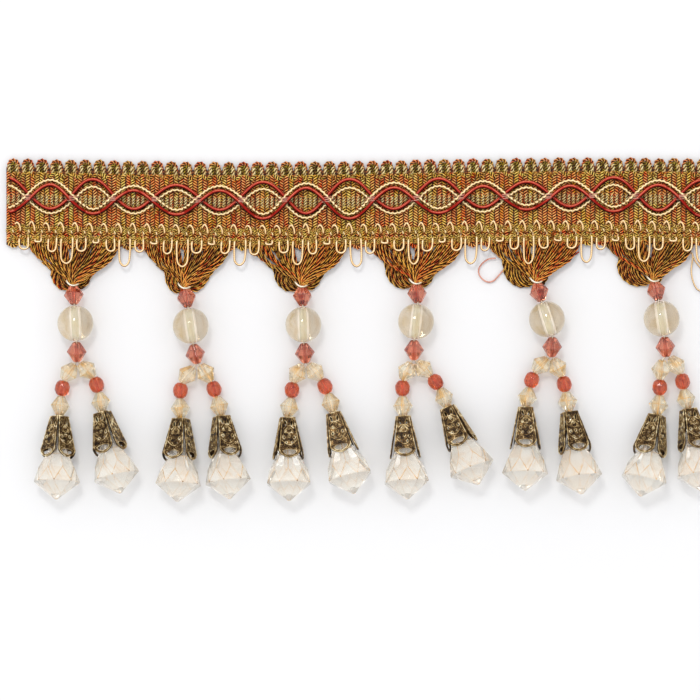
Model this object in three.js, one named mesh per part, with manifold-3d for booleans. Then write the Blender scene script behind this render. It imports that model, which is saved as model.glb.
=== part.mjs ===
// A cut length of beaded fringe trim, lying face up on a flat surface.
// A woven gimp heading carries two pairs of wavy cords and a cream loop edging. Under it hang six skirts of yarn,
// each tied at a neck, and from each neck a beaded stem splits into two legs that end in capped faceted drops.
// Millimetres. +X runs along the heading, +Y from the drops towards the scalloped edge, +Z up off the surface.
// The origin is the centre of the heading's flat back.
import * as THREE from "three";
import { mergeVertices } from "three/addons/utils/BufferGeometryUtils.js";
import Module from "manifold-3d";

const wasm = await Module();
wasm.setup();

// What keeps two separate pieces apart where they meet.
const GAP = 0.3;

// The heading: scallops of the top edge, each as wide as three ribs.
const SCALLOP_PITCH = 3.556;
const SCALLOPS = 49;
const RIBS_PER_SCALLOP = 3;
const HEADING_HALF = (SCALLOPS * SCALLOP_PITCH) / 2;
const EDGE = { tip: 10.6, notch: 9.1, foot: -10.4 };
const RIB = { peak: 1.8, valley: 1.35 };
// The heading doesn't lie quite straight: it sags and rises by SWAY.rise over SWAY.length.
const SWAY = { middle: -0.3, rise: 0.5, length: 168, low: -27 };

// The wavy cords. Each row is one lens between two crossings: the x of its left crossing, how far its upper pair
// rises over the middle line, how far its lower pair falls under it, and how far the upper pair spreads apart.
const CORD = { middle: 1.36, radius: 0.5, pair: 1.0, stepsPerLens: 5, reach: 2.4 };
const LENSES = [
  { left: -92.2, rise: 3.8, fall: 3.2, spread: 1.7 },
  { left: -81.5, rise: 3.8, fall: 3.3, spread: 1.0 },
  { left: -70.7, rise: 3.8, fall: 3.2, spread: 1.7 },
  { left: -60.5, rise: 2.7, fall: 3.0, spread: 1.0 },
  { left: -50.4, rise: 3.0, fall: 3.1, spread: 1.1 },
  { left: -39.5, rise: 2.9, fall: 3.0, spread: 1.0 },
  { left: -29.0, rise: 3.6, fall: 4.0, spread: 1.6 },
  { left: -18.1, rise: 3.5, fall: 3.9, spread: 1.0 },
  { left: -7.7, rise: 3.9, fall: 4.2, spread: 2.0 },
  { left: 3.4, rise: 3.3, fall: 3.1, spread: 1.1 },
  { left: 14.3, rise: 3.8, fall: 3.2, spread: 1.7 },
  { left: 25.5, rise: 3.3, fall: 3.1, spread: 1.1 },
  { left: 36.2, rise: 2.9, fall: 2.7, spread: 1.3 },
  { left: 47.1, rise: 3.2, fall: 3.1, spread: 1.2 },
  { left: 57.7, rise: 3.7, fall: 3.2, spread: 1.7 },
  { left: 68.6, rise: 3.4, fall: 4.0, spread: 1.0 },
  { left: 79.8, rise: 3.3, fall: 4.2, spread: 1.7 },
  { left: 90.7, rise: 3.3, fall: 4.0, spread: 1.0 },
];

// The cream loop edging: small arcs on the heading's lower band, and loops of four lengths that repeat below it.
const LOOP = { pitch: 3.568, first: -82.7, count: 48, radius: 0.24, arcTop: -4.6, bandFoot: -8.6 };
const LOOP_BOTTOMS = [-11.8, -9.6, -11.8, -14.9];
const LOOP_HALF_WIDTHS = [1.0, 0.7, 1.0, 1.25];

// The yarn skirts: strands from a strip under the heading to a neck, and lobes that puff out beside the neck.
const STRAND = { count: 8, radius: 1.15, flat: 0.7, sides: 3, rootZ: 0.6, crowd: 0.75 };
const STRIP = { depth: 1.5, thickness: 1.5, margin: 0.6, gap: 0.35 };
const NECK = { radius: 1.55, z: 2.5 };

// The beads. A bicone's belt is its widest ring. Ends are the flat rings round the holes.
const BICONE = { length: 4.9, belt: 2.45, end: 0.8, sides: 6 };
const ROUND = { radius: 4.45, bore: 1.2, slack: 0.4, sides: 12, rings: 7 };
const SMALL_ROUND = { length: 4.0, belt: 1.8, end: 0.9, sides: 6 };
const THREAD = { radius: 0.35, sides: 4 };

// The antique brass cap: four leaves that lean out from a small ring.
const CAP = { ring: 1.75, hole: 0.98, ringHeight: 0.5, leaf: 0.45, topWidth: 3.3, footWidth: 5.0 };
const LEAF = { length: 8.2, lobe: 1.9, splay: THREE.MathUtils.degToRad(10.5) };
// The faceted drop, as distances from the cap's top along its axis.
const DROP = { sides: 8, top: 1.6, topRadius: 1.0, waist: 9.6, waistRadius: 2.58, belt: 16.2, beltRadius: 5.75 };
const DROP_TIP = { at: 20.5, radius: 0.35 };

// Heights of the string's joints over the surface, with every bead resting on it or held just clear.
const JOINT_Z = { neck: 3.1, round: ROUND.radius, split: 3.1, underUpper: 2.4, underRound: 2.3, cap: 2.9 };
// How steeply a drop's axis climbs, because its belt rests on the surface and its top is thin.
const DROP_CLIMB = THREE.MathUtils.degToRad(10.1);

// How each tassel lies. Leans are degrees to +X off straight down the trim, for the neck's bicone, the round bead and
// the second bicone. left and right are how far the skirt's roots reach, leftLobe and rightLobe how far it puffs out.
const TASSELS = [
  { x: -70.4, y: -20.5, leans: [4.5, 3.2, 0], left: 11.0, right: 10.9, leftLobe: 5.7, rightLobe: 4.2 },
  { x: -42.8, y: -21.2, leans: [10, 8, 11], left: 10.0, right: 10.9, leftLobe: 5.0, rightLobe: 5.4 },
  { x: -13.9, y: -20.8, leans: [2.8, 1.6, 5.4], left: 12.6, right: 10.6, leftLobe: 6.9, rightLobe: 4.7 },
  { x: 14.3, y: -20.1, leans: [5.5, -6, 0], left: 11.2, right: 11.4, leftLobe: 7.4, rightLobe: 4.4 },
  { x: 44.1, y: -19.8, leans: [13.4, 17, -1.4], left: 11.7, right: 10.4, leftLobe: 8.0, rightLobe: 3.0 },
  { x: 73.0, y: -19.5, leans: [14, 8.7, 6.6], left: 11.4, right: 9.6, leftLobe: 8.6, rightLobe: 2.4 },
];
// How each leg lies: start is where it begins beside and below the split, the leans are for its upper bicone, small
// round and lower bicone and for its capped drop, spin turns the cap about its axis, and lift raises the upper beads.
const LEGS = [
  { left: { start: [-0.7, 0.7], leans: [-36, -7, -5], drop: -1.5, spin: 45, lift: 0 },
    right: { start: [1.0, 0.4], leans: [44, 19, 8.5], drop: 13.5, spin: -25, lift: 0 } },
  { left: { start: [-1.1, 1.0], leans: [-40, -5, 4], drop: -2, spin: -25, lift: 0 },
    right: { start: [1.0, 0.4], leans: [33, 20, 13.4], drop: 6.3, spin: 25, lift: 0 } },
  { left: { start: [-1.05, 0.6], leans: [-31, -2, -13], drop: 1.6, spin: 8, lift: 0 },
    right: { start: [0.85, 0.4], leans: [41, 26, 14.7], drop: 14.5, spin: -5, lift: 0 } },
  { left: { start: [-0.85, 0.7], leans: [-26, 0, 1.4], drop: 2.9, spin: 0, lift: 0 },
    right: { start: [0.8, 0.6], leans: [47, 36, 21], drop: 21.6, spin: -12, lift: 0 } },
  { left: { start: [-1.2, 0.4], leans: [-44, -17, -12], drop: -0.7, spin: 0, lift: 0 },
    right: { start: [0.5, 0.6], leans: [28, 13, 8.1], drop: 8.3, spin: 15, lift: 0 } },
  { left: { start: [-1.3, 0.9], leans: [-6, 0, -7.8], drop: -12.5, spin: -30, lift: 0.8 },
    right: { start: [1.4, 0.2], leans: [34, 8, 12], drop: 9, spin: 15, lift: 0 } },
];

const DOWN = new THREE.Vector3(0, -1, 0);
const vec = (x, y, z) => new THREE.Vector3(x, y, z);
const lerp = THREE.MathUtils.lerp;
const radians = THREE.MathUtils.degToRad;

function finish(color, roughness, metalness = 0) {
  return new THREE.MeshStandardMaterial({ color, roughness, metalness });
}

const FINISH = {
  gimp: finish("#a8702c", 0.6),
  redCord: finish("#b23430", 0.45),
  creamCord: finish("#eedcae", 0.5),
  yarn: finish("#9c5a24", 0.55),
  salmonBeads: finish("#c9584a", 0.2),
  champagneBeads: finish("#f0dca0", 0.2),
  clearBead: finish("#eadfc8", 0.2),
  dropAcrylic: finish("#f6eedd", 0.1),
  brass: finish("#6b5532", 0.45, 0.8),
};

// A curve that passes through its points with one step to each of them.
class Route extends THREE.CatmullRomCurve3 {
  getUtoTmapping(u) {
    return u;
  }
}

// A closed tube along the points, with a section of that many sides. flat is its thickness as a share of its width.
function tube(points, radius, sides, flat = 1) {
  const section = new THREE.Shape();
  for (let i = 0; i < sides; i++) {
    const turn = ((i + 0.5) / sides) * 2 * Math.PI;
    section[i ? "lineTo" : "moveTo"](flat * radius * Math.cos(turn), radius * Math.sin(turn));
  }
  return new THREE.ExtrudeGeometry(section, { extrudePath: new Route(points), steps: points.length - 1 });
}

// A closed solid of revolution about Y from [radius, y] pairs that start and end on the axis, y rising.
function turned(profile, sides) {
  return new THREE.LatheGeometry(profile.map(([r, y]) => new THREE.Vector2(r, y)), sides);
}

// A geometry as a solid for joining and cutting.
function solid(geometry) {
  const bare = geometry.index ? geometry.toNonIndexed() : geometry.clone();
  bare.deleteAttribute("normal");
  bare.deleteAttribute("uv");
  const merged = mergeVertices(bare, 1e-4);
  return new wasm.Manifold(
    new wasm.Mesh({
      numProp: 3,
      vertProperties: merged.attributes.position.array,
      triVerts: new Uint32Array(merged.index.array),
    }),
  );
}

// A solid's surface as a geometry.
function surface(made) {
  const { numProp, numVert, vertProperties, triVerts } = made.getMesh();
  const positions = new Float32Array(numVert * 3);
  for (let i = 0; i < numVert; i++) {
    positions.set(vertProperties.subarray(i * numProp, i * numProp + 3), i * 3);
  }
  const geometry = new THREE.BufferGeometry();
  geometry.setAttribute("position", new THREE.BufferAttribute(positions, 3));
  geometry.setIndex(new THREE.BufferAttribute(triVerts, 1));
  geometry.computeVertexNormals();
  return geometry;
}

const joined = (geometries) => surface(geometries.map(solid).reduce((a, b) => a.add(b)));

function piece(name, geometry, material) {
  const mesh = new THREE.Mesh(geometry, material);
  mesh.name = name;
  return mesh;
}

// How far the heading lies off its straight line at x.
function sway(x) {
  return SWAY.middle - SWAY.rise * Math.cos((2 * Math.PI * (x - SWAY.low)) / SWAY.length);
}

// The heading: one slab whose top is ridged by the ribs and whose upper edge is scalloped.
function headingGeometry() {
  const columns = [];
  const perScallop = 2 * RIBS_PER_SCALLOP;
  const count = SCALLOPS * perScallop;
  for (let i = 0; i <= count; i++) {
    const x = -HEADING_HALF + (i * SCALLOP_PITCH) / perScallop;
    const across = ((i % perScallop) / perScallop) * 2 - 1;
    const top = EDGE.notch + (EDGE.tip - EDGE.notch) * Math.sqrt(1 - across * across);
    const height = i % 2 ? RIB.peak : RIB.valley;
    const rows = [vec(x, EDGE.foot, 0), vec(x, EDGE.foot, height), vec(x, top, height), vec(x, top, 0)];
    columns.push(rows.map((p) => p.setY(p.y + sway(x))));
  }
  const positions = [];
  const face = (...corners) => corners.forEach((p) => positions.push(p.x, p.y, p.z));
  const rowCount = columns[0].length;
  columns.slice(1).forEach((right, i) => {
    const left = columns[i];
    for (let row = 0; row < rowCount; row++) {
      const next = (row + 1) % rowCount;
      face(left[row], right[row], right[next]);
      face(left[row], right[next], left[next]);
    }
  });
  for (const [column, turn] of [[columns[0], 1], [columns.at(-1), -1]]) {
    for (let row = 1; row < rowCount - 1; row++) {
      if (turn > 0) face(column[0], column[row], column[row + 1]);
      else face(column[0], column[row + 1], column[row]);
    }
  }
  const geometry = new THREE.BufferGeometry();
  geometry.setAttribute("position", new THREE.Float32BufferAttribute(positions, 3));
  return surface(solid(geometry));
}

// A wave's middle line at share u of lens i. The over wave is above the middle in every second lens.
function wavePoint(i, u, over) {
  const lens = LENSES[i];
  const above = (i % 2 === 1) === over;
  const height = (above ? lens.rise : -lens.fall) * Math.sin(Math.PI * u);
  return vec(lerp(lens.left, LENSES[i + 1].left, u), CORD.middle + height, 0);
}

// One cord of a pair: side is 1 for the upper cord and -1 for the lower. The over wave rises where it crosses.
function cordGeometry(over, side) {
  const onHeading = RIB.peak + GAP + CORD.radius;
  const climb = 2 * CORD.radius + GAP;
  const end = HEADING_HALF - GAP;
  const points = [];
  for (let i = 0; i < LENSES.length - 1; i++) {
    const lens = LENSES[i];
    const above = (i % 2 === 1) === over;
    const width = LENSES[i + 1].left - lens.left;
    for (let step = 0; step < CORD.stepsPerLens; step++) {
      const u = step / CORD.stepsPerLens;
      const here = wavePoint(i, u, over);
      if (Math.abs(here.x) > end) continue;
      const along = wavePoint(i, Math.min(u + 0.02, 1), over).sub(wavePoint(i, Math.max(u - 0.02, 0), over));
      const normal = vec(-along.y, along.x, 0).normalize();
      const spread = above ? lerp(CORD.pair, lens.spread, Math.sin(Math.PI * u) ** 2) : CORD.pair;
      const fromCrossing = Math.min(u, 1 - u) * width;
      const lift = over ? climb * Math.max(0, 1 - (fromCrossing / CORD.reach) ** 2 / 2) : 0;
      here.addScaledVector(normal, (side * (spread + GAP)) / 2);
      points.push(here.set(here.x, here.y + sway(here.x), onHeading + lift));
    }
  }
  return tube(points, CORD.radius, 4);
}

// The loop edging: a thread that arches over each notch of the band and hangs in a loop between two arches.
function loopEdgingGeometry() {
  const level = RIB.peak + GAP + LOOP.radius;
  const points = [];
  for (let k = 0; k < LOOP.count; k++) {
    const x = LOOP.first + k * LOOP.pitch;
    const bottom = LOOP_BOTTOMS[k % LOOP_BOTTOMS.length];
    const half = LOOP_HALF_WIDTHS[k % LOOP_HALF_WIDTHS.length];
    const middle = (LOOP.bandFoot + bottom) / 2;
    points.push(vec(x - LOOP.pitch / 2, LOOP.arcTop, level));
    points.push(vec(x - half * 0.75, LOOP.bandFoot, level));
    points.push(vec(x - half, middle, level));
    points.push(vec(x, bottom, level));
    points.push(vec(x + half, middle, level));
    points.push(vec(x + half * 0.75, LOOP.bandFoot, level));
  }
  points.push(vec(LOOP.first + (LOOP.count - 0.5) * LOOP.pitch, LOOP.arcTop, level));
  return tube(points.map((p) => p.setY(p.y + sway(p.x))), LOOP.radius, 3);
}

// A yarn skirt about its neck: a strip under the heading, and strands that gather from it to the neck. The outer
// strands crowd together and puff out beside the neck before they turn in to it.
function skirtGeometry({ x, y, left, right, leftLobe, rightLobe }) {
  const edge = (at) => EDGE.foot + sway(x + at) - STRIP.gap - y;
  const stripPoints = [0, 1, 2, 3].map((i) => lerp(-left - STRIP.margin, right + STRIP.margin, i / 3));
  const outline = new THREE.Shape([
    ...stripPoints.map((at) => new THREE.Vector2(at, edge(at) - STRIP.depth)),
    ...stripPoints.reverse().map((at) => new THREE.Vector2(at, edge(at))),
  ]);
  const strip = new THREE.ExtrudeGeometry(outline, { depth: STRIP.thickness, bevelEnabled: false });
  const parts = [strip.translate(0, 0, 0.1)];
  const gatherY = GAP + NECK.radius;
  for (let i = 0; i < STRAND.count; i++) {
    const share = lerp(-1, 1, i / (STRAND.count - 1));
    const outwards = Math.abs(share);
    const at = (share < 0 ? -left : right) * outwards ** STRAND.crowd;
    const puff = (share < 0 ? -leftLobe : rightLobe) * outwards ** 2;
    const path = [vec(at, edge(at) - 0.75 * STRIP.depth, STRAND.rootZ)];
    if (outwards > 0.5) {
      path.push(vec((at + puff) / 2, 0.5 * edge(at), STRAND.rootZ));
      path.push(vec(0.9 * puff, lerp(gatherY, 0.6, outwards), 1.2));
    } else {
      path.push(vec(0.6 * at, 0.52 * edge(at), STRAND.rootZ));
    }
    path.push(vec(0.1 * at, gatherY, NECK.z));
    parts.push(tube(path, STRAND.radius, STRAND.sides, STRAND.flat));
  }
  const neck = new THREE.SphereGeometry(NECK.radius, 7, 4);
  parts.push(neck.translate(0, gatherY, NECK.z));
  return joined(parts);
}

// The next joint of a string: length on from a joint, at that lean in plan and that height.
function next(from, length, lean, z) {
  const plan = Math.sqrt(length ** 2 - (z - from.z) ** 2);
  return vec(from.x + plan * Math.sin(radians(lean)), from.y - plan * Math.cos(radians(lean)), z);
}

// Sets a geometry or mesh whose axis is -Y from its origin along the way from one joint to the next.
function along(thing, from, to, spin = 0) {
  const direction = to.clone().sub(from).normalize();
  const turn = new THREE.Quaternion().setFromUnitVectors(DOWN, direction);
  turn.multiply(new THREE.Quaternion().setFromAxisAngle(DOWN, -spin));
  if (thing.isMesh) {
    thing.position.copy(from);
    thing.quaternion.copy(turn);
    return thing;
  }
  return thing.clone().applyQuaternion(turn).translate(from.x, from.y, from.z);
}

// A bead that tapers from its belt to both ends, hung from the origin down -Y. Its ends are low cones, so that
// beads on one string meet and join.
function doubleCone({ length, belt, end, sides }) {
  const short = GAP / 2;
  const foot = -length + short;
  return turned([[0, foot - GAP], [end, foot], [belt, -length / 2], [end, -short], [0, GAP - short]], sides);
}

// The small faceted round: as above with a broad belt of facets.
function smallRound({ length, belt, end, sides }) {
  const belts = [[belt, -0.66 * length], [belt, -0.34 * length]];
  return turned([[0, -length - GAP], [end, -length], ...belts, [end, 0], [0, GAP]], sides);
}

// The drilled round bead, hung from the origin down -Y.
function roundBeadGeometry() {
  const half = Math.sqrt(ROUND.radius ** 2 - ROUND.bore ** 2);
  const start = Math.asin(ROUND.bore / ROUND.radius);
  const profile = [];
  for (let i = 0; i <= ROUND.rings; i++) {
    const turn = lerp(Math.PI - start, start, i / ROUND.rings);
    profile.push([ROUND.radius * Math.sin(turn), ROUND.radius * Math.cos(turn) - half]);
  }
  profile.push(profile[0]);
  return turned(profile, ROUND.sides);
}
const ROUND_LENGTH = 2 * Math.sqrt(ROUND.radius ** 2 - ROUND.bore ** 2);

// One leaf of the cap: a plate that widens to a rounded foot, leaning out from the ring's edge.
function leafGeometry() {
  const { topWidth, footWidth, leaf } = CAP;
  const outline = new THREE.Shape();
  outline.moveTo(-topWidth / 2, 0);
  outline.lineTo(-footWidth / 2, -LEAF.length);
  outline.lineTo(-footWidth / 4, -LEAF.length - LEAF.lobe);
  outline.lineTo(footWidth / 4, -LEAF.length - LEAF.lobe);
  outline.lineTo(footWidth / 2, -LEAF.length);
  outline.lineTo(topWidth / 2, 0);
  const plate = new THREE.ExtrudeGeometry(outline, { depth: leaf, bevelEnabled: false });
  return plate.translate(0, 0, -leaf).rotateX(-LEAF.splay).translate(0, 0, CAP.ring);
}

function capGeometry() {
  const { ring, hole, ringHeight } = CAP;
  const corner = ring * Math.SQRT2 * 0.98;
  const profile = [[hole, -ringHeight], [corner, -ringHeight], [corner, 0], [hole, 0], [hole, -ringHeight]];
  const top = turned(profile, 4).rotateY(Math.PI / 4);
  const leaves = [0, 1, 2, 3].map((i) => leafGeometry().rotateY((i * Math.PI) / 2));
  return joined([top, ...leaves]);
}

function dropGeometry() {
  const { top, topRadius, waist, waistRadius, belt, beltRadius, sides } = DROP;
  const rings = [
    [0, -DROP_TIP.at],
    [DROP_TIP.radius, -DROP_TIP.at],
    [beltRadius, -belt],
    [waistRadius, -waist],
    [topRadius, -top],
    [0, -top],
  ];
  return turned(rings, sides).rotateY(Math.PI / sides);
}

// The round bead's, cap's and drop's geometries are shared by all their copies.
const roundBead = roundBeadGeometry();
const cap = capGeometry();
const drop = dropGeometry();
const bicone = doubleCone(BICONE);
const small = smallRound(SMALL_ROUND);

// One leg from the split: three beads on their thread, and the capped drop that the thread ends in.
function leg(name, split, { start, leans, drop: dropLean, spin, lift }) {
  const group = new THREE.Group();
  const from = split.clone().add(vec(start[0], -start[1], lift));
  const joints = [from];
  joints.push(next(joints[0], BICONE.length, leans[0], JOINT_Z.underUpper + lift / 2));
  joints.push(next(joints[1], SMALL_ROUND.length, leans[1], JOINT_Z.underRound));
  joints.push(next(joints[2], BICONE.length, leans[2], JOINT_Z.cap));
  const onAxis = (reach) => next(joints[3], reach, dropLean, joints[3].z + reach * Math.sin(DROP_CLIMB));
  const capTop = onAxis(GAP);
  const threadEnd = onAxis(DROP.top);
  const threadStart = joints[3].clone().lerp(joints[2], 0.2);
  const beads = joined([
    along(bicone, joints[0], joints[1]),
    along(small, joints[1], joints[2]),
    along(bicone, joints[2], joints[3]),
    tube([threadStart, joints[3], threadEnd], THREAD.radius, THREAD.sides),
  ]);
  group.add(piece(`leg_${name}`, beads, FINISH.champagneBeads));
  group.add(along(piece(`cap_${name}`, cap, FINISH.brass), capTop, threadEnd, radians(spin)));
  group.add(along(piece(`drop_${name}`, drop, FINISH.dropAcrylic), capTop, threadEnd));
  return group;
}

// A tassel about its neck: skirt, stem with the round bead, and two legs.
function tassel(number, place, legs) {
  const group = new THREE.Group();
  group.position.set(place.x, place.y, 0);
  group.add(piece(`skirt_${number}`, skirtGeometry(place), FINISH.yarn));
  const neck = vec(0, 0, JOINT_Z.neck);
  const upperFoot = next(neck, BICONE.length, place.leans[0], JOINT_Z.round);
  const roundTop = next(upperFoot, ROUND.slack, place.leans[1], JOINT_Z.round);
  const roundFoot = next(roundTop, ROUND_LENGTH, place.leans[1], JOINT_Z.round);
  const lowerTop = next(roundFoot, ROUND.slack, place.leans[1], JOINT_Z.round);
  const split = next(lowerTop, BICONE.length, place.leans[2], JOINT_Z.split);
  const threadStart = upperFoot.clone().lerp(neck, 0.2);
  const threadEnd = lowerTop.clone().lerp(split, 0.2);
  const stem = joined([
    along(bicone, neck, upperFoot),
    along(bicone, lowerTop, split),
    tube([threadStart, roundTop, roundFoot, threadEnd], THREAD.radius, THREAD.sides),
  ]);
  group.add(piece(`stem_${number}`, stem, FINISH.salmonBeads));
  group.add(along(piece(`round_bead_${number}`, roundBead, FINISH.clearBead), roundTop, roundFoot));
  for (const side of ["left", "right"]) group.add(leg(`${number}_${side}`, split, legs[side]));
  return group;
}

const trim = new THREE.Group();
trim.add(piece("heading", headingGeometry(), FINISH.gimp));
trim.add(piece("over_cord_cream", cordGeometry(true, 1), FINISH.creamCord));
trim.add(piece("over_cord_red", cordGeometry(true, -1), FINISH.redCord));
trim.add(piece("under_cord_red", cordGeometry(false, 1), FINISH.redCord));
trim.add(piece("under_cord_cream", cordGeometry(false, -1), FINISH.creamCord));
trim.add(piece("loop_edging", loopEdgingGeometry(), FINISH.creamCord));
TASSELS.forEach((place, i) => trim.add(tassel(i + 1, place, LEGS[i])));

export default trim;
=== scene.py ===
# A cut length of beaded fringe trim, lying face up, seen straight from above. Lengths are millimetres until
# piece() turns them to metres. X runs along the heading, Y up the picture, Z up.
import math
import random

import bmesh
import bpy
from mathutils import Matrix, Quaternion, Vector


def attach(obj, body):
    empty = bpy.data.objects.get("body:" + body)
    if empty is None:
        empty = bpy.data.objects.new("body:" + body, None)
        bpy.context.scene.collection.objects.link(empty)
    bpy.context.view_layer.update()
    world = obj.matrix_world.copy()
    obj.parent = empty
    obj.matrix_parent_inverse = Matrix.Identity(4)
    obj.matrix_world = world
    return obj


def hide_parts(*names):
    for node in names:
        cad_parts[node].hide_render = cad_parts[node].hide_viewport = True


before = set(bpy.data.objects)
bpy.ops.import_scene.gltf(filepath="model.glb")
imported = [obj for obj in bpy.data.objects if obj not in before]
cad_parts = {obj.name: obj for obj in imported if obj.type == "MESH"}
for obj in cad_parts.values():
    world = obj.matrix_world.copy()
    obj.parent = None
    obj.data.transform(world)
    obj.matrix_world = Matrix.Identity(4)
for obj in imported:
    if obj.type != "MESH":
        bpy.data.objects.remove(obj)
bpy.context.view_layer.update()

MM = 0.001
TURN = 2 * math.pi
DOWN = Vector((0, -1, 0))

# Sizes shared with the part's source

SCALLOP_PITCH = 3.556
SCALLOPS = 49
HEADING_HALF = SCALLOPS * SCALLOP_PITCH / 2
RIB_PITCH = SCALLOP_PITCH / 3
HEADING_FOOT = -10.4
CORD_MIDDLE = 1.36
CORD_CLIMB = 1.3

# One row for each lens between two crossings: left crossing, rise, fall, and spread of the upper pair.
LENSES = [
    (-92.2, 3.8, 3.2, 1.7), (-81.5, 3.8, 3.3, 1.0), (-70.7, 3.8, 3.2, 1.7), (-60.5, 2.7, 3.0, 1.0),
    (-50.4, 3.0, 3.1, 1.1), (-39.5, 2.9, 3.0, 1.0), (-29.0, 3.6, 4.0, 1.6), (-18.1, 3.5, 3.9, 1.0),
    (-7.7, 3.9, 4.2, 2.0), (3.4, 3.3, 3.1, 1.1), (14.3, 3.8, 3.2, 1.7), (25.5, 3.3, 3.1, 1.1),
    (36.2, 2.9, 2.7, 1.3), (47.1, 3.2, 3.1, 1.2), (57.7, 3.7, 3.2, 1.7), (68.6, 3.4, 4.0, 1.0),
    (79.8, 3.3, 4.2, 1.7), (90.7, 3.3, 4.0, 1.0),
]

LOOP_PITCH = 3.568
LOOP_FIRST = -82.7
LOOP_COUNT = 48
LOOP_BOTTOMS = [-11.8, -9.6, -11.8, -14.9]

BICONE = 4.9
SMALL = 4.0
ROUND = 4.45
ROUND_BORE = 1.2
ROUND_SLACK = 0.4
GAP = 0.3
JOINT_Z = {"neck": 3.1, "round": ROUND, "split": 3.1, "under_upper": 2.4, "under_round": 2.3, "cap": 2.9}
DROP_CLIMB = math.radians(10.1)
DROP_TOP = 1.6

# One row for each tassel: neck, leans of the stem's three beads, and the reach of its skirt and of its puffs.
TASSELS = [
    dict(x=-70.4, y=-20.5, leans=(4.5, 3.2, 0), left=11.0, right=10.9, left_puff=5.7, right_puff=4.2),
    dict(x=-42.8, y=-21.2, leans=(10, 8, 11), left=10.0, right=10.9, left_puff=5.0, right_puff=5.4),
    dict(x=-13.9, y=-20.8, leans=(2.8, 1.6, 5.4), left=12.6, right=10.6, left_puff=6.9, right_puff=4.7),
    dict(x=14.3, y=-20.1, leans=(5.5, -6, 0), left=11.2, right=11.4, left_puff=7.4, right_puff=4.4),
    dict(x=44.1, y=-19.8, leans=(13.4, 17, -1.4), left=11.7, right=10.4, left_puff=8.0, right_puff=3.0),
    dict(x=73.0, y=-19.5, leans=(14, 8.7, 6.6), left=11.4, right=9.6, left_puff=8.6, right_puff=2.4),
]
# Left and right leg of each tassel: start beside and below the split, leans of three beads, then lean, spin
# and lift.
LEGS = [
    ((-0.7, 0.7, (-36, -7, -5), -1.5, 45, 0), (1.0, 0.4, (44, 19, 8.5), 13.5, -25, 0)),
    ((-1.1, 1.0, (-40, -5, 4), -2, -25, 0), (1.0, 0.4, (33, 20, 13.4), 6.3, 25, 0)),
    ((-1.05, 0.6, (-31, -2, -13), 1.6, 8, 0), (0.85, 0.4, (41, 26, 14.7), 14.5, -5, 0)),
    ((-0.85, 0.7, (-26, 0, 1.4), 2.9, 0, 0), (0.8, 0.6, (47, 36, 21), 21.6, -12, 0)),
    ((-1.2, 0.4, (-44, -17, -12), -0.7, 0, 0), (0.5, 0.6, (28, 13, 8.1), 8.3, 15, 0)),
    ((-1.3, 0.9, (-6, 0, -7.8), -12.5, -30, 0.8), (1.4, 0.2, (34, 8, 12), 9, 15, 0)),
]


def sway(x):
    """How far the heading lies off its straight line at x."""
    return -0.3 - 0.5 * math.cos(TURN * (x + 27) / 168)


def mix(a, b, t):
    """The value at the share t of the way from a to b."""
    return a + (b - a) * t


# Node helpers

def linear(hex_colour):
    """An sRGB hex value as linear colour."""
    parts = [int(hex_colour[i:i + 2], 16) / 255 for i in (1, 3, 5)]
    return [p / 12.92 if p <= 0.04045 else ((p + 0.055) / 1.055) ** 2.4 for p in parts] + [1.0]


def connect(tree, node, links):
    """Sets or connects a node's inputs, by name or number."""
    for key, value in links.items():
        if isinstance(value, bpy.types.NodeSocket):
            tree.links.new(value, node.inputs[key])
        else:
            node.inputs[key].default_value = value


def add(tree, kind, links=None, stops=(), **settings):
    """Adds a node with its settings and links. The stops of a colour ramp are (position, hex) pairs."""
    node = tree.nodes.new(kind)
    for name, value in settings.items():
        setattr(node, name, value)
    if stops:
        elements = node.color_ramp.elements
        while len(elements) < len(stops):
            elements.new(1.0)
        for element, (position, colour) in zip(elements, stops):
            element.position = position
            element.color = linear(colour)
    connect(tree, node, links or {})
    return node


def material(name):
    """A node material, its tree, and the Principled shader that is its surface."""
    made = bpy.data.materials.new(name)
    made.use_nodes = True
    tree = made.node_tree
    tree.nodes.clear()
    shader = add(tree, "ShaderNodeBsdfPrincipled")
    add(tree, "ShaderNodeOutputMaterial", {"Surface": shader.outputs[0]})
    return made, tree, shader


# Materials

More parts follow.
